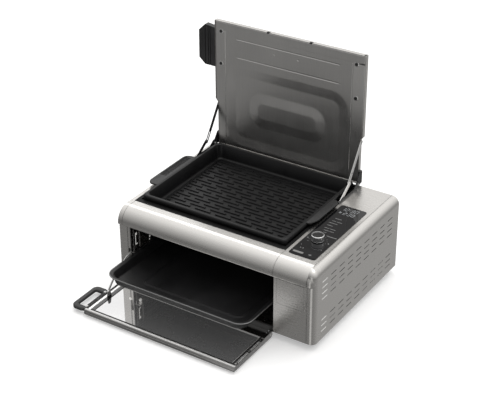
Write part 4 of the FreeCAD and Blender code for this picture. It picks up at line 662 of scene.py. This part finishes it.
# rounded end of the nose at the corner of the side panel
sp = Soup()
nose = []
for k in range(13):
    a = math.radians(90.0 * k / 12)
    nose.append((-151.3 - 33.0 * math.sin(a), 155.4 + 33.0 * math.cos(a)))
for k in range(5):
    a = math.radians(90.0 * k / 4)
    nose.append((-181.3 - 3.0 * math.cos(a), 154.6 - 3.0 * math.sin(a)))
nose += [(-178.0, 151.6), (-150.0, 151.6), (-150.0, 188.4)]
ends_ = []
for x in (222.45, 222.8, 223.6, 224.8, 226.2, 227.6, 229.0, 230.4, 231.8, 233.2, 234.5, 235.7, 236.7, 237.5, 238.1):
    # the end follows the side panel's own rounding at the top and sinks into its corner at the front
    top_in = 17.4 - math.sqrt(max(0.0, 17.4 ** 2 - max(0.0, x - 222.6) ** 2)) + 0.06
    u = min(1.0, max(0.0, (x - 223.0) / 15.1))
    front_in = 12.5 - math.sqrt(max(0.0, 12.5 ** 2 - max(0.0, x - 227.5) ** 2)) + 5.2 * (1 - math.sqrt(max(0.0, 1 - u * u)))
    front_in += 0.3 if x < 222.6 else 0.0
    ring = []
    for y, z in nose:
        dy, dz = y + 158.0, z - 166.0
        d = math.hypot(dy, dz)
        wf = min(1.0, max(0.0, (-151.3 - y) / 33.0)) if z > 155.4 else 1.0
        o = (1 - wf) * top_in + wf * front_in
        q = max(0.0, d - o) / d
        ring.append((x, -158.0 + dy * q, 166.0 + dz * q))
    ends_.append(ring)
sp.rings(ends_)
sp.done("nose_end", MATS["stainless"], "housing", 35)

# ------------------------------------------------------------------ white fibre behind the punched holes, with a painted glow
sp = Soup()
for (y0, y1, z0, z1) in ((-170.0, -100.0, 60.0, 70.0), (-170.0, -100.0, 97.0, 132.0), (-170.0, -135.0, 71.0, 96.0), (-122.0, -104.0, 71.0, 96.0)):
    sp.prism([(y0, z0), (y1, z0), (y1, z1), (y0, z1)], -214.5, -212.1, "yz", 0.3)
sp.done("wall_fibre", EXTRA["fibre"], "housing")

# ------------------------------------------------------------------ grill pan
# cast pan: flanged rim with a turned-down skirt, filleted walls, broken grill ribs, two hand tabs
PX0, PX1, PY0, PY1 = -221.85, 135.35, -121.0, 171.0


def pan_ring(o, z, r):
    return [(x, y, z) for x, y in rrect(PX0 + o, PX1 - o, PY0 + o, PY1 - o, r, 8)]


walls = [(12.0, 163.9, 7.0), (10.2, 164.2, 8.0), (9.0, 165.6, 8.5), (4.8, 194.8, 10.0), (4.2, 195.8, 10.0), (1.3, 195.8, 8.6),
         (1.2, 190.0, 8.6), (0.9, 189.6, 8.8), (0.3, 189.6, 9.0), (0.0, 190.0, 9.0), (0.0, 196.4, 9.0)]
for k in range(1, 6):
    a = math.radians(18.0 * k)
    walls.append((3.6 - 3.6 * math.cos(a), 196.4 + 3.6 * math.sin(a), 9.0 + 0.4 * k))
walls += [(6.6, 200.0, 11.4), (7.5, 199.7, 11.6), (8.1, 199.0, 11.8), (11.6, 171.0, 12.0)]
for k in range(1, 6):
    a = math.radians(18.0 * k)
    walls.append((11.6 + 5.0 * (1 - math.cos(a)), 171.0 - 5.0 * math.sin(a), 12.0 - 0.3 * k))
sp = Soup()
sp.rings([pan_ring(*w_) for w_ in walls])
RIB = [(-2.5, 165.6), (-2.2, 167.6), (-1.7, 168.25), (1.7, 168.25), (2.2, 167.6), (2.5, 165.6)]
for k in range(21):
    yc = -97.0 + 12.0 * k
    x = -200.0 - (26.0 if k % 2 else 0.0) + 4.0 * math.sin(1.7 * k)
    while x < 106.0:
        x0, x1 = max(x, -199.0), min(x + 39.0, 108.0)
        if x1 - x0 > 8.0:
            body = [[(q, yc + dy, z) for dy, z in RIB] for q in (x0 + 0.7, x1 - 0.7)]
            tip0 = [(x0, yc + dy * 0.72, 165.6 + (z - 165.6) * 0.7) for dy, z in RIB]
            tip1 = [(x1, yc + dy * 0.72, 165.6 + (z - 165.6) * 0.7) for dy, z in RIB]
            sp.rings([tip0] + body + [tip1])
        x += 52.0
# low rail along the left and right ends of the ribs
for x0, x1 in ((-203.6, -201.0), (110.6, 112.4)):
    sp.box(x0, x1, -101.0, 147.0, 165.6, 167.4, 0.5)
pan = sp.done("pan_casting", MATS["black_enamel"], "pan", 40)
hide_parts("grill_pan")
# drain slots down the right of the floor
sp = Soup()
for k in range(5):
    sp.prism(rrect(113.9, 117.1, -100.0 + 48.0 * k, -86.0 + 48.0 * k, 1.5, 4), 165.7, 166.12)
sp.done("pan_drains", EXTRA["gasket"], "pan")


def round_poly(pts, rads, n=5):
    out = []
    m_ = len(pts)
    for i in range(m_):
        p0, p1, p2 = Vector(pts[i - 1]), Vector(pts[i]), Vector(pts[(i + 1) % m_])
        u, v = (p0 - p1).normalized(), (p2 - p1).normalized()
        t = rads[i]
        a, b_ = p1 + u * t, p1 + v * t
        for k in range(n + 1):
            q = k / n
            out.append(tuple(a * (1 - q) ** 2 + p1 * (2 * q * (1 - q)) + b_ * q * q))
    return out


# hand tabs
sp = Soup()
tab_l = round_poly([(PX0 + 3, -69), (PX0 - 17, -69), (PX0 - 24.5, -59), (PX0 - 24.5, 72), (PX0 - 16, 81), (PX0 + 3, 81)],
                   [1, 5, 6, 7, 8, 1])
tab_r = round_poly([(PX1 - 3, 80), (PX1 + 7, 80), (PX1 + 14.5, 71), (PX1 + 14.5, -14), (PX1 + 5, -35), (PX1 - 3, -35)],
                   [1, 5, 6, 9, 6, 1])
for tab in (tab_l, tab_r):
    cx = sum(q[0] for q in tab) / len(tab)
    cy = sum(q[1] for q in tab) / len(tab)

    def shrink(d):
        out = []
        for x, y in tab:
            dx, dy = x - cx, y - cy
            out.append((x - math.copysign(min(d, abs(dx)), dx), y - math.copysign(min(d, abs(dy)), dy)))
        return out
    rr = [(1.0, 195.9), (0.2, 196.3), (0.0, 197.2), (0.0, 198.5), (0.4, 199.3), (1.3, 199.7)]
    sp.rings([[(x, y, z) for x, y in shrink(o)] for o, z in rr])
tabs = sp.done("pan_tabs", MATS["black_plastic"], "pan", 40)
# knurled field in the rear two thirds of the left tab
sp = Soup()
for q in frange(-26.0, 70.0, 1.9):
    sp.box(PX0 - 20.5, PX0 - 5.0, q - 0.55, q + 0.55, 199.5, 199.95, 0.2)
sp.done("pan_tab_knurl", EXTRA["grip_ridge"], "pan")

# ------------------------------------------------------------------ baking tray
TX0, TX1, TY0, TY1 = -209.0, 142.6, -281.0, 4.0


def tray_ring(o, front, z, r, drop=0.0):
    out = []
    for x, y in rrect(TX0 + o, TX1 - o, TY0 + front, TY1 - o, r, 8):
        out.append((x, y, z - (drop if y < -273.0 else 0.0)))
    return out


tr_ = [tray_ring(16.0, 12.5, 66.8, 17), tray_ring(14.4, 10.2, 67.3, 19), tray_ring(13.4, 8.6, 69.2, 20),
       tray_ring(9.7, 4.0, 83.6, 25), tray_ring(8.8, 3.0, 84.75, 26), tray_ring(1.4, 1.4, 84.8, 29), tray_ring(0.4, 0.4, 84.9, 30),
       tray_ring(0.3, 0.3, 85.5, 30), tray_ring(0.9, 0.9, 85.85, 29.5), tray_ring(2.4, 2.4, 85.8, 28), tray_ring(6.0, 5.0, 85.3, 25),
       tray_ring(8.6, 7.4, 85.1, 23), tray_ring(9.9, 8.6, 84.7, 21.5), tray_ring(10.6, 9.4, 83.6, 21), tray_ring(14.6, 13.6, 71.0, 18)]
for k in range(1, 5):
    a = math.radians(22.5 * k)
    o = 14.6 + 3.0 * (1 - math.cos(a))
    tr_.append(tray_ring(o, o - 1.0, 71.0 - 3.0 * math.sin(a), 17.5))
sp = Soup()


def floor_ring(o, z):
    return [(x, y, z) for x, y in rrect(-142.0 + o, 106.0 - o, -242.0 + o, -32.0 - o, max(2.0, 16.0 - o), 8)]


tr_ += [floor_ring(-3.0, 68.0)]
for o in (0.0, 3.6):
    tr_ += [floor_ring(o, 68.0), floor_ring(o + 0.5, 68.75), floor_ring(o + 1.1, 68.9), floor_ring(o + 1.7, 68.75), floor_ring(o + 2.2, 68.0)]
sp.rings(tr_)
tray = sp.done("tray_pressing", MATS["tray_enamel"], "tray", 40)
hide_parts("baking_tray")
# the outside of the tray is duller than the inside
tray.data.materials.append(EXTRA["gasket"])
mid_x, mid_y = (TX0 + TX1) / 2 * MM, (TY0 + TY1) / 2 * MM
for poly in tray.data.polygons:
    c, nn = poly.center, poly.normal
    if nn.z < 0.2 and c.z < 84.9 * MM and nn.x * (c.x - mid_x) + nn.y * (c.y - mid_y) > 0:
        poly.material_index = 1
# rolled wire edge of the tray
sp = Soup()
b_ = 0
path = rrect(TX0 + 1.6, TX1 - 1.6, TY0 + 1.6, TY1 - 1.6, 28.4, 12)
path_o = rrect(TX0 + 0.2, TX1 - 0.2, TY0 + 0.2, TY1 - 0.2, 29.8, 12)
n_, m_ = len(path), 10
for (cx, cy), (ox, oy) in zip(path, path_o):
    u = Vector((ox - cx, oy - cy, 0)).normalized()
    for k in range(m_):
        a = 2 * math.pi * k / m_
        sp.v.append((cx + u.x * 1.45 * math.cos(a), cy + u.y * 1.45 * math.cos(a), 85.45 + 0.95 * math.sin(a)))
for i in range(n_):
    j = (i + 1) % n_
    for k in range(m_):
        k2 = (k + 1) % m_
        sp.f.append((i * m_ + k, i * m_ + k2, j * m_ + k2, j * m_ + k))
roll = sp.done("tray_rolled_edge", EXTRA["rolled_edge"], "tray", 60)
# the pale sheet of the door reflects the cavity, not the tray
for ob in (tray, roll, frame["nodes"]["door_link"]):
    ob.visible_glossy = False

# ------------------------------------------------------------------ door
# loop handle: rounded ring with a flat-topped section and a seat on the door's edge
def ring_pts(x0, x1, y0, y1, r, n):
    return rrect(x0, x1, y0, y1, r, n)


outer = ring_pts(-269.0, -231.5, -322.0, -235.0, 13.0, 10)
inner = ring_pts(-259.0, -239.3, -309.0, -249.0, 3.5, 10)
sec = [(0.0, 8.9), (0.12, 7.9), (0.3, 7.6), (0.7, 7.6), (0.88, 7.9), (1.0, 8.9), (1.0, 13.7), (0.9, 14.8), (0.74, 15.2),
       (0.26, 15.2), (0.1, 14.8), (0.0, 13.7)]
sp = Soup()
n = len(outer)
base = 0
for i in range(n):
    ox, oy = outer[i]
    ix, iy = inner[i]
    for t, z in sec:
        sp.v.append((ox + (ix - ox) * t, oy + (iy - oy) * t, z))
m = len(sec)
for i in range(n):
    j = (i + 1) % n
    for k in range(m):
        k2 = (k + 1) % m
        sp.f.append((i * m + k, i * m + k2, j * m + k2, j * m + k))
handle = sp.done("door_handle_loop", MATS["black_plastic"], "door", 40)
sp = Soup()
for (y0, y1) in ((-319.0, -306.6), (-251.4, -238.0)):
    sp.box(-239.0, -231.5, y0, y1, 7.7, 15.1, 0.8)
sp.box(-238.9, -231.5, -307.4, -250.6, 7.7, 14.9, 0.8)
seat = sp.done("door_handle_seat", MATS["black_plastic"], "door", 30)
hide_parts("door_handle")
# fine ribs on the inner bar of the handle
sp = Soup()
for y in frange(-304.0, -254.0, 1.7):
    sp.box(-238.2, -232.2, y - 0.42, y + 0.42, 14.7, 15.5, 0.25)
sp.done("handle_ribs", MATS["black_plastic"], "door")

# left rail: edge, satin strip, dark strip beside the pane
sp = Soup()
sp.box(-225.4, -220.2, -316.6, -212.0, 16.5, 17.0, 0.3)
sp.done("rail_strip_left", EXTRA["bright_strip"], "door")
sp = Soup()
sp.box(-219.6, -211.0, -316.4, -212.0, 16.3, 16.98, 0.3)
sp.done("pane_strip_left", EXTRA["dark_steel"], "door")
sp = Soup()
sp.box(-231.3, -226.0, -316.6, -194.0, 16.4, 16.9, 0.2)
sp.done("rail_edge_left", EXTRA["gasket"], "door")
# right rail: thin bright line at the pane, dark channel, ribbed strips between dark screw recesses
sp = Soup()
sp.box(132.3, 137.3, -316.6, -211.6, 15.4, 16.75, 0.2)
for y in (-312.0, -263.0, -219.0):
    sp.prism(rrect(136.4, 143.4, y - 4.8, y + 4.8, 2.0, 4), 16.4, 16.95)
sp.done("rail_channel_right", EXTRA["gasket"], "door")
sp = Soup()
sp.box(130.9, 132.2, -315.6, -212.2, 16.4, 16.9, 0.2)
sp.done("pane_line_right", EXTRA["bright_strip"], "door")
sp = Soup()
for y0, y1 in ((-306.6, -268.6), (-257.4, -224.6)):
    for y in frange(y0, y1, 1.9):
        sp.box(137.7, 142.2, y - 0.66, y + 0.66, 16.5, 17.0, 0.25)
    sp.box(137.4, 142.4, y0 - 0.8, y1 + 0.8, 16.3, 16.8, 0.2)
sp.done("rail_ribs_right", EXTRA["bright_strip"], "door")
# dark gasket between the pane and the edge trim
sp = Soup()
sp.box(-219.0, 133.0, -317.4, -313.2, 16.3, 17.0, 0.25)
sp.done("pane_gasket_front", EXTRA["gasket"], "door")
# edge trim: narrow flat lip, then a steep face with a fine groove
sec = [(-317.0, 5.5), (-317.0, 17.0), (-321.3, 17.0), (-322.6, 16.7), (-323.4, 15.9), (-324.3, 12.6), (-324.0, 12.3),
       (-324.0, 11.9), (-324.6, 11.6), (-325.0, 10.8), (-325.0, 7.0), (-324.4, 5.9), (-323.4, 5.5)]
sp = Soup()
sp.rings([[(x, -321.0 + (y + 321.0) * q, 11.2 + (z - 11.2) * q) for y, z in sec]
          for x, q in ((-231.4, 0.93), (-230.9, 1.0), (143.4, 1.0), (143.9, 0.93))])
trim = sp.done("edge_trim_bar", EXTRA["trim_steel"], "door", 30)
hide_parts("door_edge_trim")

# ------------------------------------------------------------------ left side of the opening
# pale button beside the link, guide rivet on the wall, and folded edges on the frame strip
sp = Soup()


def turned_x(sp, x, y, z, prof_, n=40):
    sp.rings([[(x + h, y + r * math.cos(2 * math.pi * i / n), z + r * math.sin(2 * math.pi * i / n)) for i in range(n)]
              for r, h in prof_])


# domed button on the frame strip; it stays behind the closed door
sp.rings([[(-221.2 + r * math.cos(2 * math.pi * i / 40), y, 67.4 + r * math.sin(2 * math.pi * i / 40)) for i in range(40)]
          for r, y in ((3.5, -179.3), (3.5, -179.9), (3.2, -180.4), (2.4, -180.75), (1.2, -180.88), (0.01, -180.9))])
turned_x(sp, -210.0, -159.0, 79.0, [(0.01, 3.0), (1.6, 2.9), (2.9, 2.3), (3.7, 1.2), (3.9, 0.0), (0.01, 0.0)])
# the button and the rivet use the fibre material, so they carry its painted glow too
sp.done("guide_rollers", EXTRA["fibre"], "housing", 40)
sp = Soup()
sp.box(-212.6, -211.5, -180.6, -179.2, 30.0, 150.8, 0.3)
sp.box(-220.5, -219.9, -180.2, -179.4, 30.0, 150.8, 0.1)
sp.done("frame_folds_left", EXTRA["edge_steel"], "housing")
# folds and small lugs pressed into the left wall
sp = Soup()
sp.box(-211.2, -210.3, -170.6, -169.2, 34.0, 146.0, 0.25)
sp.box(-211.2, -209.9, -150.0, -148.8, 88.0, 146.0, 0.25)
for y, z in ((-171.8, 128.0), (-171.8, 104.0), (-167.0, 96.0)):
    turned_x(sp, -211.2, y, z, [(0.01, 0.9), (0.9, 0.8), (1.5, 0.3), (1.6, 0.0), (0.01, 0.0)], 16)
sp.done("wall_folds_left", MATS["liner_steel"], "housing")

# ------------------------------------------------------------------ camera
YAW, PITCH, ROLL = math.radians(32.87), math.radians(29.70), math.radians(-0.26)
back = Vector((math.sin(YAW) * math.cos(PITCH), -math.cos(YAW) * math.cos(PITCH), math.sin(PITCH)))
right = Vector((math.cos(YAW), math.sin(YAW), 0))
up = back.cross(right)
right2 = right * math.cos(ROLL) + up * math.sin(ROLL)
up2 = up * math.cos(ROLL) - right * math.sin(ROLL)
cam = bpy.data.cameras.new("camera")
cam.sensor_width = 36.0
cam.lens = 1315.4 * 36.0 / 485.0
cam_ob = bpy.data.objects.new("camera", cam)
bpy.context.scene.collection.objects.link(cam_ob)
rot = Matrix((right2, up2, back)).transposed()
cam_ob.matrix_world = Matrix.Translation(Vector((1.2858, -2.05805, 1.5792))) @ rot.to_4x4()
cam.clip_start, cam.clip_end = 0.05, 50.0
bpy.context.scene.camera = cam_ob

# ------------------------------------------------------------------ stage
bm = bmesh.new()
bmesh.ops.create_grid(bm, x_segments=1, y_segments=1, size=6.0)
me = bpy.data.meshes.new("floor")
bm.to_mesh(me)
bm.free()
floor = bpy.data.objects.new("floor", me)
bpy.context.scene.collection.objects.link(floor)
fm = Mat("floor_white", Roughness=0.9)
fm.join(fm.ramp(fm.noise(fm.scaled(1, 1, 1), 2.0, 2.0, 0.5), [(0.3, (0.86, 0.86, 0.86)), (0.7, (0.88, 0.88, 0.88))]),
        fm.b.inputs["Base Color"])
fm.b.inputs["Emission Color"].default_value = (1.0, 1.0, 1.0, 1.0)
fm.b.inputs["Emission Strength"].default_value = 0.30
me.materials.append(fm.m)

w = bpy.data.worlds.new("studio")
bpy.context.scene.world = w
w.use_nodes = True
nt = w.node_tree
nt.nodes.clear()


def wn(kind, **kw):
    x = nt.nodes.new("ShaderNode" + kind)
    for k, v in kw.items():
        setattr(x, k, v)
    return x


# a pale dome: bright overhead, dim below the horizon, dimmer towards the front left
sep = wn("SeparateXYZ")
nt.links.new(wn("TexCoord").outputs["Generated"], sep.inputs[0])
zr = wn("MapRange")
zr.inputs["From Min"].default_value, zr.inputs["From Max"].default_value = -1.0, 1.0
nt.links.new(sep.outputs["Z"], zr.inputs["Value"])
rp = wn("ValToRGB")
nt.links.new(zr.outputs[0], rp.inputs[0])
DOME = [(0.0, 0.07), (0.235, 0.232), (0.30, 0.20), (0.37, 0.16), (0.45, 0.19), (0.525, 0.28), (0.67, 0.44), (0.80, 0.58), (0.89, 0.70), (0.96, 0.86)]
e = rp.color_ramp.elements
while len(e) < len(DOME):
    e.new(0.5)
for el, (p, v) in zip(e, DOME):
    el.position = p
    el.color = (v, v * 0.995, v * 0.985, 1)
mx = wn("Math", operation="MULTIPLY")
mx.inputs[1].default_value = 0.20
nt.links.new(sep.outputs["X"], mx.inputs[0])
my = wn("Math", operation="MULTIPLY_ADD")
my.inputs[1].default_value = 0.90
nt.links.new(sep.outputs["Y"], my.inputs[0])
nt.links.new(mx.outputs[0], my.inputs[2])
sd = wn("MapRange")
sd.inputs["From Min"].default_value, sd.inputs["From Max"].default_value = -0.9, 0.9
sd.inputs["To Min"].default_value, sd.inputs["To Max"].default_value = 0.62, 1.25
nt.links.new(my.outputs[0], sd.inputs["Value"])
st = wn("Math", operation="MULTIPLY")
st.inputs[1].default_value = 1.6
nt.links.new(sd.outputs[0], st.inputs[0])
# a tall pale strip in front, seen below eye level in the rounded vertical corner
h2 = wn("Math", operation="ADD")
for k, name in enumerate(("X", "Y")):
    sq = wn("Math", operation="MULTIPLY")
    nt.links.new(sep.outputs[name], sq.inputs[0])
    nt.links.new(sep.outputs[name], sq.inputs[1])
    nt.links.new(sq.outputs[0], h2.inputs[k])
hl = wn("Math", operation="SQRT")
nt.links.new(h2.outputs[0], hl.inputs[0])
d1 = wn("Math", operation="MULTIPLY")
d1.inputs[1].default_value = 0.125
nt.links.new(sep.outputs["X"], d1.inputs[0])
d2 = wn("Math", operation="MULTIPLY_ADD")
d2.inputs[1].default_value = -0.992
nt.links.new(sep.outputs["Y"], d2.inputs[0])
nt.links.new(d1.outputs[0], d2.inputs[2])
dq = wn("Math", operation="DIVIDE")
nt.links.new(d2.outputs[0], dq.inputs[0])
nt.links.new(hl.outputs[0], dq.inputs[1])
lobe = wn("MapRange", interpolation_type="SMOOTHSTEP")
lobe.inputs["From Min"].default_value, lobe.inputs["From Max"].default_value = 0.940, 0.990
lobe.inputs["To Min"].default_value, lobe.inputs["To Max"].default_value = 0.0, 2.2
nt.links.new(dq.outputs[0], lobe.inputs["Value"])
low = wn("MapRange", interpolation_type="SMOOTHSTEP")
low.inputs["From Min"].default_value, low.inputs["From Max"].default_value = 0.30, -0.10
nt.links.new(sep.outputs["Z"], low.inputs["Value"])
lz = wn("Math", operation="MULTIPLY")
nt.links.new(lobe.outputs[0], lz.inputs[0])
nt.links.new(low.outputs[0], lz.inputs[1])
plus = wn("Math", operation="ADD")
plus.inputs[1].default_value = 1.0
nt.links.new(lz.outputs[0], plus.inputs[0])
st2 = wn("Math", operation="MULTIPLY")
nt.links.new(st.outputs[0], st2.inputs[0])
nt.links.new(plus.outputs[0], st2.inputs[1])
st = st2
bg = wn("Background")
nt.links.new(rp.outputs[0], bg.inputs["Color"])
nt.links.new(st.outputs[0], bg.inputs["Strength"])
nt.links.new(bg.outputs[0], wn("OutputWorld").inputs[0])
floor.visible_glossy = False
bpy.context.scene.view_settings.view_transform = "Standard"


def soft_light(name, loc, target, size, power, colour=(1, 1, 1)):
    li = bpy.data.lights.new(name, "AREA")
    li.shape = "RECTANGLE"
    li.size, li.size_y = size
    li.energy = power
    li.color = colour
    o = bpy.data.objects.new(name, li)
    bpy.context.scene.collection.objects.link(o)
    o.location = loc
    d = Vector(target) - Vector(loc)
    o.rotation_euler = d.to_track_quat("-Z", "Y").to_euler()
    return o


soft_light("key", (-1.2, 1.16, 1.77), (-1.2, -0.15, 0.15), (1.5, 0.62), 4.6)
soft_light("top", (0.3, 0.6, 2.6), (0, 0, 0.15), (1.8, 1.4), 8)
